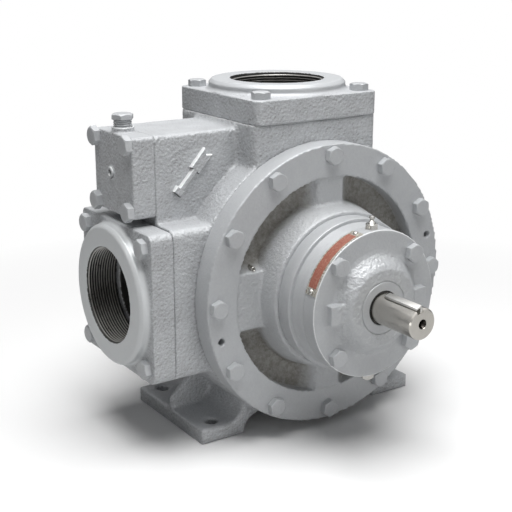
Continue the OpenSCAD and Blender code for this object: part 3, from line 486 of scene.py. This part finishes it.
looks = {
    "cast_paint": castPaint("castIronPaint", bores=[(along, radii["passage"] + boreEdge) for along in "XZ"],
                            paintedLedge=True),
    # raised trim (flow arrow, cover ring) with painted highlight and painted shade on its slopes
    "raised_paint": castPaint("raisedPaint", 0.0012, 0.0004, raised=True),
    # the side port's turned boss takes the lighter boss tone as a painted reflection, the top port's keeps the
    # cast tone
    "flange_paint": flangePaint("flangePaint", "X"),
    "top_flange_paint": flangePaint("topFlangePaint", "Z", "cast"),
    "thread_metal": threadPaint("threadMetal"),
    "deep_black": plainMatt("deepBlack", (0.012, 0.012, 0.012, 1.0), 0.6),
    "machined_paint": smoothPaint("machinedPaint"),
    "cover_paint": coverPaint("coverPaint"),
    "bolt_paint": smoothPaint("boltPaint", 0.00015),
    "band_paint": bandPaint("bandPaint"),
    "head_paint": headPaint("headPaint"),
    "shaft_steel": groundSteel("shaftSteel", (0.68, 0.655, 0.61, 1.0), 0.14, hollow=0.0054),
    "key_steel": groundSteel("keySteel", (0.80, 0.79, 0.76, 1.0), 0.28, sides=0.004),
    "bearing_steel": plainMetal("bearingSteel", (0.72, 0.72, 0.73, 1.0), 0.12),
    "chamber_iron": plainMetal("chamberIron", (0.16, 0.16, 0.165, 1.0), 0.45, 0.8),
    "vane_composite": plainMatt("vaneComposite", (0.20, 0.11, 0.06, 1.0), 0.55),
    "rubber_black": plainMatt("blackRubber", (0.02, 0.02, 0.02, 1.0), 0.7),
    "seal_carbon": plainMatt("sealCarbon", (0.04, 0.04, 0.042, 1.0), 0.4),
    "seal_steel": plainMetal("sealSteel", (0.45, 0.45, 0.46, 1.0), 0.3),
    "spring_steel": plainMetal("springSteel", (0.25, 0.255, 0.27, 1.0), 0.35),
    "fitting_bright": plainMetal("brightFitting", (0.62, 0.61, 0.58, 1.0), 0.2),
}
slotOf = {s["node"]: s["material_slot"] for s in frame["record"]["subparts"]}
for node, solid in frame["nodes"].items():
    solid.data.materials.clear()
    solid.data.materials.append(looks[slotOf[node]])
print("materials made:", len(looks))


# Mesh helpers
def softShade(bm, degrees):
    limit = math.radians(degrees)
    for face in bm.faces:
        face.smooth = True
    for edge in bm.edges:
        edge.smooth = len(edge.link_faces) == 2 and edge.calc_face_angle(0) < limit


def addPiece(name, bm, slot, body, *stands, shade=32):
    bmesh.ops.recalc_face_normals(bm, faces=bm.faces)
    softShade(bm, shade)
    mesh = bpy.data.meshes.new(name)
    bm.to_mesh(mesh)
    bm.free()
    return placePiece(name, mesh, slot, body, *stands)


def placePiece(name, mesh, slot, body, *stands):
    piece = bpy.data.objects.new(name, mesh)
    scene.collection.objects.link(piece)
    mesh.materials.clear()
    mesh.materials.append(looks[slot])
    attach(piece, body)
    if stands:
        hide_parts(*stands)
    return piece


looseGap = 2e-6  # joins the loose triangles of a CAD mesh
poleGap = 1e-6  # joins the points that a full spin leaves on its axis
seamGap = 1e-7  # joins the steps of a spin


def mergedCopy(node):
    bm = bmesh.new()
    bm.from_mesh(frame["nodes"][node].data)
    bmesh.ops.remove_doubles(bm, verts=bm.verts, dist=looseGap)
    return bm


def middleOf(node):
    low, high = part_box(node)
    return (Vector(low) + Vector(high)) / 2


# Castings: cell sizes of their meshes and depths of their cast grain. Within snap a vertex joins a true round,
# and within square cells a joint's face. The clear values are left without grain, and padDepth is the height
# of what pressFlat takes off a wall
casting = {"casingCell": 0.0027, "headCell": 0.002, "coverCell": 0.0011, "flangeCell": 0.0013,
           "casingGrain": 0.0006, "coverGrain": 0.0003, "grainSize": 0.0065, "snap": 0.0004, "square": 0.62,
           "jointClear": 0.003, "soleClear": 0.0015, "padDepth": 0.006}


# snaps vertices near a true cylinder onto it, so that coarse facets don't show
def trueRound(mesh, centre, axis, trueRadii):
    count = len(mesh.vertices)
    flat = np.empty(count * 3)
    mesh.vertices.foreach_get("co", flat)
    points = flat.reshape(-1, 3)
    rest = points - np.array(centre)
    keep = [i for i in range(3) if i != axis]
    away = np.hypot(rest[:, keep[0]], rest[:, keep[1]])
    for radius in trueRadii:
        near = np.abs(away - radius) < casting["snap"]
        scale = radius / away[near]
        for i in keep:
            points[near, i] = centre[i] + rest[near, i] * scale
    mesh.vertices.foreach_set("co", points.ravel())


# brings the vertices beside a joint face across X onto it, so that the joint closes to a thin line
def squareEdge(mesh, joint, reach):
    for vert in mesh.vertices:
        if abs(vert.co.x - joint) < reach:
            vert.co.x = joint


# presses what stands proud of a wall flat onto it between two corners (x, z), for a crisper piece there
def pressFlat(mesh, low, high, face):
    for vert in mesh.vertices:
        x, y, z = vert.co
        if low[0] < x < high[0] and low[1] < z < high[1] and face - casting["padDepth"] < y < face:
            vert.co.y = face


def sandCloud():
    cloud = bpy.data.textures.get("sandCloud") or bpy.data.textures.new("sandCloud", "CLOUDS")
    cloud.noise_scale = casting["grainSize"]
    cloud.noise_depth = 1
    return cloud


def bakeMesh(thing):
    bpy.context.view_layer.update()
    graph = bpy.context.evaluated_depsgraph_get()
    return bpy.data.meshes.new_from_object(thing.evaluated_get(graph))


# a CAD casting again with soft cast edges: rebuilt in small cells, rounds made true, then smoothed
# where it is rough, and given its sand grain there
def castCopy(name, node, slot, cell, passes, rounds=(), isRough=None, grain=0.0, joint=None, pad=None):
    bm = mergedCopy(node)
    mesh = bpy.data.meshes.new(name)
    bm.to_mesh(mesh)
    bm.free()
    draft = bpy.data.objects.new(name + "Draft", mesh)
    scene.collection.objects.link(draft)
    remesh = draft.modifiers.new("cells", "REMESH")
    remesh.mode = "VOXEL"
    remesh.voxel_size = cell
    remesh.use_smooth_shade = True
    made = bakeMesh(draft)
    for axis, *names in rounds:
        trueRound(made, shaftLine, axis, [radii[key] for key in names])
    if joint is not None:
        squareEdge(made, joint, cell * casting["square"])
    if pad:
        pressFlat(made, **pad)
    draft.modifiers.clear()
    draft.data = made
    rough = draft.vertex_groups.new(name="rough")
    rough.add([v.index for v in made.vertices if isRough is None or isRough(v.co)], 1.0, "REPLACE")
    smooth = draft.modifiers.new("cast", "SMOOTH")
    smooth.factor = 0.5
    smooth.iterations = passes
    smooth.vertex_group = "rough"
    if grain:
        sand = draft.modifiers.new("sand", "DISPLACE")
        sand.texture = sandCloud()
        sand.texture_coords = "LOCAL"
        sand.strength = grain
        sand.mid_level = 0.5
        sand.vertex_group = "rough"
    final = bakeMesh(draft)
    bpy.data.objects.remove(draft)
    final.name = name
    print(name, "has", len(final.polygons), "faces")
    placePiece(name, final, slot, "pump_body", node)


def fromShaft(point):  # distance of a point from the shaft's axis
    return math.hypot(point[0], point[2] - shaftZ)


def coverCast(point):  # the boss and the lugs of a bearing cover
    return fromShaft(point) < coverLook["boss"] and abs(point[1]) > coverFace


def insideRing(point):  # the head's pockets, webs and hub, which are left as cast
    return fromShaft(point) < headInside


def offTheJoint(point):  # all but the joint of the relief valve's housing and cover, and the feet's soles
    return abs(point[0] - valveJoint) > casting["jointClear"] and point[2] > casting["soleClear"]


coverFace = 0.1895  # where the rough part of a bearing cover starts, from the pump's middle along the shaft
headInside = 0.1275  # radius inside which a head is rough
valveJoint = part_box("relief_valve_cover")[1][0]
arrowPad = {"low": (-0.168, 0.262), "high": (-0.098, 0.340), "face": -0.046}  # wall under the flow arrow

# each round is its axis (0, 1, 2 for X, Y, Z) and the names of its radii
castCopy("casingCasting", "casing", "cast_paint", casting["casingCell"], 2,
         [(1, "headRing", "chamber"), (2, "passage"), (0, "passage")], offTheJoint, casting["casingGrain"],
         valveJoint, arrowPad)
for end in ("front", "rear"):
    castCopy(end + "HeadCasting", end + "_head", "head_paint", casting["headCell"], 2,
             [(1, "headRing", "headPocket")], insideRing)
    castCopy(end + "CoverCasting", end + "_bearing_cover", "cover_paint", casting["coverCell"], 1,
             [(1, "cover")], coverCast, casting["coverGrain"])
castCopy("topFlangeCasting", "top_flange", "top_flange_paint", casting["flangeCell"], 3,
         [(2, "portHole", "portBoss")])
castCopy("sideFlangeCasting", "side_flange", "flange_paint", casting["flangeCell"], 3,
         [(0, "portHole", "portBoss")])
castCopy("valveCoverCasting", "relief_valve_cover", "cast_paint", casting["coverCell"], 4, (), offTheJoint,
         casting["coverGrain"], valveJoint)
print("castings made")


# a turned or flat CAD part again with its sharp edges just broken
def edgedCopy(name, node, slot, body, width):
    bm = mergedCopy(node)
    bmesh.ops.dissolve_limit(bm, angle_limit=math.radians(1), verts=bm.verts, edges=bm.edges)
    sharp = [e for e in bm.edges if len(e.link_faces) == 2 and e.calc_face_angle(0) > math.radians(35)]
    bmesh.ops.bevel(bm, geom=sharp, offset=width, affect="EDGES", segments=2, profile=0.5, material=-1,
                    clamp_overlap=True)
    addPiece(name, bm, slot, body, node)


# Turned pieces: an outline of (radius, height) spun once round its own axis
def turnedPart(bm, outline, place, axis, steps=32):
    before = set(bm.verts)
    points = [bm.verts.new((radius, 0, height)) for radius, height in outline]
    edges = [bm.edges.new(pair) for pair in zip(points, points[1:])]
    bmesh.ops.spin(bm, geom=points + edges, cent=(0, 0, 0), axis=(0, 0, 1), angle=math.tau, steps=steps,
                   use_merge=True)
    fresh = [v for v in bm.verts if v not in before]
    bmesh.ops.remove_doubles(bm, verts=fresh, dist=poleGap)
    fresh = [v for v in bm.verts if v not in before]
    bmesh.ops.transform(bm, matrix=standAt(place, axis), verts=fresh)


def standAt(place, axis, turn=0.0):  # moves z = 0 to a place and turns +Z to an axis
    lean = Vector(axis).to_track_quat("Z", "Y").to_matrix().to_4x4()
    return Matrix.Translation(place) @ lean @ Matrix.Rotation(turn, 4, "Z")


# Hex heads: a round drum whose sides are pushed out to the flats, with a round chamfer on top; crown is the
# share of the width across the flats that the chamfer leaves as a radius
hexHead = {"facets": 48, "chamfer": math.radians(30), "crown": 0.46}


def hexRadius(angle, across):
    return across / 2 / math.cos((angle + math.pi / 6) % (math.pi / 3) - math.pi / 6)


def loopOf(ring):  # the edges between the vertices of a ring, in a fixed order
    own = set(ring)
    return list(dict.fromkeys(e for v in ring for e in v.link_edges if e.other_vert(v) in own))


def hexPart(bm, across, height, place, axis, turn, shankRadius=0.0, shank=0.0, crown=hexHead["crown"]):
    before = set(bm.verts)
    top = across * crown
    made = bmesh.ops.create_circle(bm, cap_ends=False, segments=hexHead["facets"], radius=top)
    rings = [made["verts"]]
    for _ in range(4 if shank else 2):
        grown = bmesh.ops.extrude_edge_only(bm, edges=loopOf(rings[-1]))["geom"]
        rings.append([v for v in grown if isinstance(v, bmesh.types.BMVert)])
    for level, ring in enumerate(rings):
        for vert in ring:
            angle = math.atan2(vert.co.y, vert.co.x)
            side = hexRadius(angle, across)
            drop = (side - top) * math.tan(hexHead["chamfer"])
            reach = (top, side, side, shankRadius, shankRadius)[level]
            lift = (height, height - drop, 0, 0, -shank)[level]
            vert.co = (reach * math.cos(angle), reach * math.sin(angle), lift)
    for ring in (rings[0], rings[-1]):
        bmesh.ops.edgenet_fill(bm, edges=loopOf(ring))
    fresh = [v for v in bm.verts if v not in before]
    bmesh.ops.transform(bm, matrix=standAt(place, axis, turn), verts=fresh)


# Bolts stand where the CAD bolts stand: each solid of a node gives a place, a length and a turn
hexBolt = {"across": 0.019, "height": 0.008, "shankRadius": 0.00635}


def solidsOf(node):  # the points of each separate solid of a node
    bm = mergedCopy(node)
    left = set(bm.verts)
    groups = []
    for first in bm.verts:
        if first not in left:
            continue
        left.discard(first)
        group = [first]
        for vert in group:  # grows while it is gone through
            for link in vert.link_edges:
                other = link.other_vert(vert)
                if other in left:
                    left.discard(other)
                    group.append(other)
        groups.append([v.co.copy() for v in group])
    bm.free()
    return groups


def boltSet(name, node, axis):
    bm = bmesh.new()
    out = Vector(axis)
    for points in solidsOf(node):
        heights = [p.dot(out) for p in points]
        tip, end = max(heights), min(heights)
        low = Vector([min(p[i] for p in points) for i in range(3)])
        high = Vector([max(p[i] for p in points) for i in range(3)])
        middle = (low + high) / 2
        base = middle + out * (tip - hexBolt["height"] - middle.dot(out))
        back = standAt(base, axis).inverted()
        corner = back @ max(points, key=lambda p: (back @ p).xy.length)
        turn = math.atan2(corner.y, corner.x) + math.pi / 6
        hexPart(bm, hexBolt["across"], hexBolt["height"], base, axis, turn, hexBolt["shankRadius"],
                tip - end - hexBolt["height"])
    addPiece(name, bm, "bolt_paint", "pump_body", node, shade=20)


boltSet("frontHeadBolts", "front_head_bolts", (0, -1, 0))
boltSet("rearHeadBolts", "rear_head_bolts", (0, 1, 0))
boltSet("frontCoverBolts", "front_cover_bolts", (0, -1, 0))
boltSet("rearCoverBolts", "rear_cover_bolts", (0, 1, 0))
boltSet("topFlangeBolts", "top_flange_bolts", (0, 0, 1))
boltSet("sideFlangeBolts", "side_flange_bolts", (-1, 0, 0))
boltSet("valveCoverBolts", "valve_cover_bolts", (-1, 0, 0))
print("bolts made")

# Pipe threads: one ridge wound down the wall of each port flange; half a ridge fills this share of the pitch,
# and the gap is left free at both ends
pipeThread = {"pitch": 0.003175, "wall": 0.0554, "crest": 0.0535, "land": 0.0002, "steps": 64, "fill": 0.46,
              "depth": 0.0395, "gap": 0.0005}


def portThread(name, axis, mouth):
    t = pipeThread
    half = t["pitch"] * t["fill"]
    outline = [(t["wall"], -half), (t["crest"], -t["land"]), (t["crest"], t["land"]), (t["wall"], half)]
    bm = bmesh.new()
    start = [bm.verts.new((radius, 0, height)) for radius, height in outline]
    ridge = bm.faces.new(start)
    steps = round((t["depth"] - 2 * half - 2 * t["gap"]) / t["pitch"] * t["steps"])
    bmesh.ops.spin(bm, geom=[ridge] + list(ridge.edges) + start, cent=(0, 0, 0), axis=(0, 0, 1),
                   dvec=(0, 0, -t["pitch"] / t["steps"]), angle=math.tau * steps / t["steps"], steps=steps)
    bmesh.ops.remove_doubles(bm, verts=bm.verts, dist=seamGap)
    place = Vector(shaftLine) + Vector(axis) * (mouth - half - t["gap"])
    bmesh.ops.transform(bm, matrix=standAt(place, axis), verts=bm.verts)
    addPiece(name, bm, "thread_metal", "pump_body", shade=30)


portThread("topPortThread", (0, 0, 1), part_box("top_flange")[1][2] - shaftZ)
portThread("sidePortThread", (-1, 0, 0), -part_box("side_flange")[0][0])
print("threads made")

# Bearing housings and key with their edges broken
brokenEdge = {"housing": 0.0007, "key": 0.0004}
for end in ("front", "rear"):
    edgedCopy(end + "HousingTurned", end + "_bearing_housing", "machined_paint", "pump_body",
              brokenEdge["housing"])
edgedCopy("driveKeyEdged", "drive_key", "key_steel", "shaft_line", brokenEdge["key"])

# Lip seal: outlines of its painted case and its black lip as (radius, height over the seal's face)
sealFace = {"case": [(0.0292, -0.002), (0.0292, 0.0), (0.0286, 0.0009), (0.0198, 0.0009), (0.0193, 0.0),
                     (0.0193, -0.002), (0.0292, -0.002)],
            "lip": [(0.0193, -0.002), (0.0193, 0.0003), (0.0182, 0.0004), (0.0176, 0.0002), (0.0176, 0.0001),
                    (0.0187, 0.0001), (0.0187, -0.002), (0.0193, -0.002)],
            "steps": 96}


def addSealPart(name, outline, slot):
    bm = bmesh.new()
    turnedPart(bm, outline, (0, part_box("shaft_lip_seal")[0][1], shaftZ), (0, -1, 0), sealFace["steps"])
    addPiece(name, bm, slot, "pump_body")


addSealPart("sealCase", sealFace["case"], "machined_paint")
addSealPart("sealLip", sealFace["lip"], "deep_black")
print("shaft end made")

# Grease fittings: the outlines stand on a small hexagon
nipple = {"across": 0.013, "hexHeight": 0.006, "turn": 20, "shank": 0.004, "steps": 28,
          "outline": [(0.0, 0.0), (0.0043, 0.0), (0.0043, 0.0008), (0.0030, 0.0022), (0.0021, 0.0034),
                      (0.0021, 0.0046), (0.0030, 0.0056), (0.0032, 0.0066), (0.0028, 0.0077),
                      (0.0012, 0.0085), (0.0, 0.0085)],
          "relief": [(0.0, 0.0), (0.0036, 0.0), (0.0036, 0.0018), (0.0028, 0.0025), (0.0012, 0.0025),
                     (0.0012, 0.0012), (0.0, 0.0012)]}


def rimFitting(name, node, up, outline):  # up is 1 or -1
    n = nipple
    low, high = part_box(node)
    root, tip = (low[2], high[2]) if up > 0 else (high[2], low[2])
    tall = n["hexHeight"] + max(point[1] for point in outline)
    seat = middleOf(node)
    seat.z = tip - up * tall
    axis = (0, 0, up)
    bm = bmesh.new()
    hexPart(bm, n["across"], n["hexHeight"], seat, axis, math.radians(n["turn"]), n["shank"],
            abs(seat.z - root))
    turnedPart(bm, outline, seat + Vector(axis) * n["hexHeight"], axis, n["steps"])
    addPiece(name, bm, "fitting_bright", "pump_body", node, shade=28)


rimFitting("frontGreaseNipple", "front_grease_fitting", 1, nipple["outline"])
rimFitting("rearGreaseNipple", "rear_grease_fitting", 1, nipple["outline"])
rimFitting("frontGreaseRelief", "front_grease_relief", -1, nipple["relief"])

# Hex plug on the relief valve's cover, with a few turns of its thread in sight as rings; each crest runs
# between two shares of the pitch
plug = {"across": 0.022, "hexHeight": 0.006, "crown": 0.44, "neck": 0.01025, "root": 0.0091, "ridges": 4,
        "pitch": 0.0024, "crest": (0.42, 0.58), "turn": -34, "steps": 48}


def addPlug():
    low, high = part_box("gauge_plug")
    seat = middleOf("gauge_plug")
    seat.z = high[2] - plug["hexHeight"]
    bm = bmesh.new()
    hexPart(bm, plug["across"], plug["hexHeight"], seat, (0, 0, 1), math.radians(plug["turn"]),
            crown=plug["crown"])
    outline = [(0.0, low[2] - seat.z), (plug["neck"], low[2] - seat.z)]
    for i in range(plug["ridges"], 0, -1):
        at = -i * plug["pitch"]
        outline.append((plug["root"], at))
        outline += [(plug["neck"], at + plug["pitch"] * share) for share in plug["crest"]]
    outline += [(plug["root"], 0.0), (0.0, 0.0)]
    turnedPart(bm, outline, seat, (0, 0, 1), plug["steps"])
    addPiece("gaugePlug", bm, "bolt_paint", "pump_body", "gauge_plug", shade=24)


# Small bright fitting on the head's web
webNut = {"radius": 0.003, "outline": [(0.003, -0.0006), (0.0026, 0.0), (0.0019, 0.0), (0.0015, -0.0006),
                                       (0.0015, -0.004), (0.0, -0.004)]}


def addWebFitting():
    low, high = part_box("web_bleed_fitting")
    place = middleOf("web_bleed_fitting")
    place.y = low[1]
    foot = low[1] - high[1]
    bm = bmesh.new()
    turnedPart(bm, [(0.0, foot), (webNut["radius"], foot)] + webNut["outline"], place, (0, -1, 0))
    addPiece("webFitting", bm, "fitting_bright", "pump_body", "web_bleed_fitting")


# Raised ring, and a black disc down in its hole as painted shade, in the middle of the relief valve's cover:
# place along Y, height, and how far the ring's zero lies inside the cover's face
coverRing = {"y": 0.0035, "z": 0.312, "inside": 0.0002,
             "ring": [(0.0, -0.002), (0.0068, -0.002), (0.0068, 0.0009), (0.0061, 0.0016), (0.0038, 0.0016),
                      (0.0028, 0.0006), (0.0028, -0.0014), (0.0, -0.0014)],
             "hole": [(0.0, -0.0015), (0.0028, -0.0015), (0.0028, -0.0006), (0.0, -0.0006)],
             "ringSteps": 40, "holeSteps": 24}


def addCoverPart(name, outline, slot, steps):
    place = (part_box("relief_valve_cover")[0][0] + coverRing["inside"], coverRing["y"], coverRing["z"])
    bm = bmesh.new()
    turnedPart(bm, outline, place, (-1, 0, 0), steps)
    addPiece(name, bm, slot, "pump_body")


def addValveSpring():  # the relief valve's spring, copied with a mesh of its own (the real spring shortens as its poppet lifts)
    coil = mergedCopy("valve_spring")
    spring = addPiece("valveSpringCoil", coil, "spring_steel", "pump_body", "valve_spring")
    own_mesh(spring)


addPlug()
addWebFitting()
addCoverPart("coverRing", coverRing["ring"], "raised_paint", coverRing["ringSteps"])
addCoverPart("coverHoleShade", coverRing["hole"], "deep_black", coverRing["holeSteps"])
addValveSpring()

# Bare band on the front cover's rim, held by a drive screw at each end; inset is in degrees from the end
band = {"radius": 0.0836, "sunk": 0.0004, "thick": 0.0006, "steps": 62, **bandLook}
driveScrew = {"inset": 2.6, "steps": 24,
              "outline": [(0.0, -0.003), (0.0016, -0.003), (0.0016, 0.0), (0.0031, 0.0), (0.0030, 0.0007),
                          (0.0024, 0.0015), (0.0014, 0.0021), (0.0, 0.0023)]}


def addBand():
    a, b = math.radians(band["from"]), math.radians(band["to"])
    inner, outer = band["radius"] - band["sunk"], band["radius"] + band["thick"]
    corners = [(inner, band["front"]), (outer, band["front"]), (outer, band["back"]), (inner, band["back"])]
    bm = bmesh.new()
    points = [bm.verts.new((r * math.cos(a), y, shaftZ + r * math.sin(a))) for r, y in corners]
    face = bm.faces.new(points)
    bmesh.ops.spin(bm, geom=[face] + list(face.edges) + points, cent=shaftLine, axis=(0, -1, 0), angle=b - a,
                   steps=band["steps"])
    bmesh.ops.remove_doubles(bm, verts=bm.verts, dist=seamGap)
    addPiece("rimBand", bm, "band_paint", "pump_body")


def addDriveScrews():
    middle = (band["front"] + band["back"]) / 2
    bm = bmesh.new()
    for angle in (band["from"] + driveScrew["inset"], band["to"] - driveScrew["inset"]):
        t = math.radians(angle)
        out = Vector((math.cos(t), 0, math.sin(t)))
        place = Vector((0, middle, shaftZ)) + out * (band["radius"] + band["thick"])
        turnedPart(bm, driveScrew["outline"], place, out, driveScrew["steps"])
    addPiece("bandScrews", bm, "fitting_bright", "pump_body")


addBand()
addDriveScrews()

# Cast flow arrow on the relief valve housing, crisper than the casing's cells can show: it stands on
# arrowPad, midway between the valve cover's joint and the side of the body, moved by shift (x, z)
arrow = {"long": 0.056, "shaft": 0.006, "head": 0.013, "headLong": 0.027, "notch": 0.005, "tail": 0.008,
         "tailLow": -0.0045, "tailHigh": 0.0065, "tilt": 48, "proud": 0.0054, "root": 0.002, "edge": 0.0021,
         "bodySide": -0.0855, "shift": (-0.006, -0.001)}


def addArrow():
    a = arrow
    half, low, tail, side = a["long"] / 2, a["head"] / 2, a["tail"] / 2, a["shaft"] / 2
    neck = half - a["headLong"]
    outline = [(-half - tail, a["tailLow"]), (-half + tail, a["tailLow"]), (-half + tail, -side),
               (neck, -side), (neck, -low), (half, -low), (half - a["notch"], 0), (half, low), (neck, low),
               (neck, side), (-half + tail, side), (-half + tail, a["tailHigh"]),
               (-half - tail, a["tailHigh"])]
    bm = bmesh.new()
    bottom = bm.faces.new([bm.verts.new((x, y, -a["root"])) for x, y in outline])
    grown = bmesh.ops.extrude_face_region(bm, geom=[bottom])["geom"]
    top = [g for g in grown if isinstance(g, bmesh.types.BMVert)]
    bmesh.ops.translate(bm, vec=(0, 0, a["root"] + a["proud"]), verts=top)
    rim = [g for g in grown if isinstance(g, bmesh.types.BMEdge)]
    bmesh.ops.bevel(bm, geom=rim, offset=a["edge"], affect="EDGES", segments=1, profile=0.5, material=-1,
                    clamp_overlap=True)
    place = Vector(((valveJoint + a["bodySide"]) / 2 + a["shift"][0], arrowPad["face"],
                    middleOf("relief_valve_cover").z + a["shift"][1]))
    facing = Matrix.Rotation(math.radians(90), 4, "X") @ Matrix.Rotation(math.radians(a["tilt"]), 4, "Z")
    bmesh.ops.transform(bm, matrix=Matrix.Translation(place) @ facing, verts=bm.verts)
    addPiece("flowArrow", bm, "raised_paint", "pump_body")


addArrow()
print("small pieces made")

# Camera: focal length in pixels of a 512 pixel wide picture
shot = {"place": (-0.7138, -1.0311, 0.5495), "azimuth": -33.573, "elevation": 16.310, "focal": 1058.06,
        "picture": 512, "sensor": 36}


def addCamera():
    a, e = math.radians(shot["azimuth"]), math.radians(shot["elevation"])
    back = Vector((math.sin(a) * math.cos(e), -math.cos(a) * math.cos(e), math.sin(e)))
    data = bpy.data.cameras.new("photoCamera")
    data.lens = shot["focal"] / shot["picture"] * shot["sensor"]
    data.sensor_width = shot["sensor"]
    data.clip_start, data.clip_end = 0.05, 50
    camera = bpy.data.objects.new("photoCamera", data)
    scene.collection.objects.link(camera)
    camera.location = shot["place"]
    camera.rotation_mode = "QUATERNION"
    camera.rotation_quaternion = (-back).to_track_quat("-Z", "Y")
    scene.camera = camera


# Floor: white paper that keeps the shadow near the pump and fades into the white background between two
# distances from the middle
floorLook = {"size": 6.0, "level": 0.65, "fade": (0.36, 0.85)}


def addFloor():
    bm = bmesh.new()
    bmesh.ops.create_grid(bm, x_segments=1, y_segments=1, size=floorLook["size"])
    mesh = bpy.data.meshes.new("floor")
    bm.to_mesh(mesh)
    bm.free()
    floor = bpy.data.objects.new("floor", mesh)
    scene.collection.objects.link(floor)
    p = newPaint("floorPaint")
    away = p.wire(p.node("VectorMath", {"operation": "LENGTH"}, at0=p.place()), "Value")
    seen = p.wire(p.node("LightPath"), "Is Camera Ray")
    paper = p.node("BsdfDiffuse", Color=p.blend(seen, grey(floorLook["level"]), grey(1.0)))
    white = p.node("Emission", Color=grey(1.0))
    p.closeMixed(p.ease(away, *floorLook["fade"]) * seen, paper, white)
    mesh.materials.append(p.owner)


# Light: strength of the room, rise between which the reflected ceiling gets white, and each lamp's place,
# width and power; the lamps look at the pump's middle
studio = {
    "room": 0.06,
    "ceiling": (0.05, 0.55),
    "aim": (0, 0, 0.18),
    "lamps": {
        "topLamp": ((-0.12, -0.32, 2.2), 1.9, 59),
        "frontLamp": ((0.6, -2.0, 0.16), 1.3, 6.5),
        "lowLamp": ((-0.75, -1.0, 0.04), 0.5, 1.1),
    },
}


def addWorld():  # white where it is seen, a dim room with a bright ceiling where it lights the pump
    world = bpy.data.worlds.new("studio")
    scene.world = world
    p = Paint(world)
    rise = p.part(p.wire(p.node("TexCoord"), "Generated"), "Z")
    path = p.node("LightPath")
    seen = p.most(p.wire(path, "Is Camera Ray"), p.wire(path, "Is Transmission Ray"))
    seen = p.most(seen, p.wire(path, "Is Glossy Ray") * p.ease(rise, *studio["ceiling"]))
    lit = p.node("Background", Color=grey(1.0), Strength=studio["room"])
    white = p.node("Background", Color=grey(1.0), Strength=1.0)
    p.closeMixed(seen, lit, white, "OutputWorld")


def addLamp(name, place, size, power):
    data = bpy.data.lights.new(name, "AREA")
    data.shape = "DISK"
    data.size = size
    data.energy = power
    lamp = bpy.data.objects.new(name, data)
    scene.collection.objects.link(lamp)
    lamp.location = place
    lamp.rotation_mode = "QUATERNION"
    lamp.rotation_quaternion = (Vector(studio["aim"]) - Vector(place)).to_track_quat("-Z", "Y")


addCamera()
addFloor()
addWorld()
for lampName, settings in studio["lamps"].items():
    addLamp(lampName, *settings)
scene.view_settings.view_transform = "Standard"
print("camera and lights set")
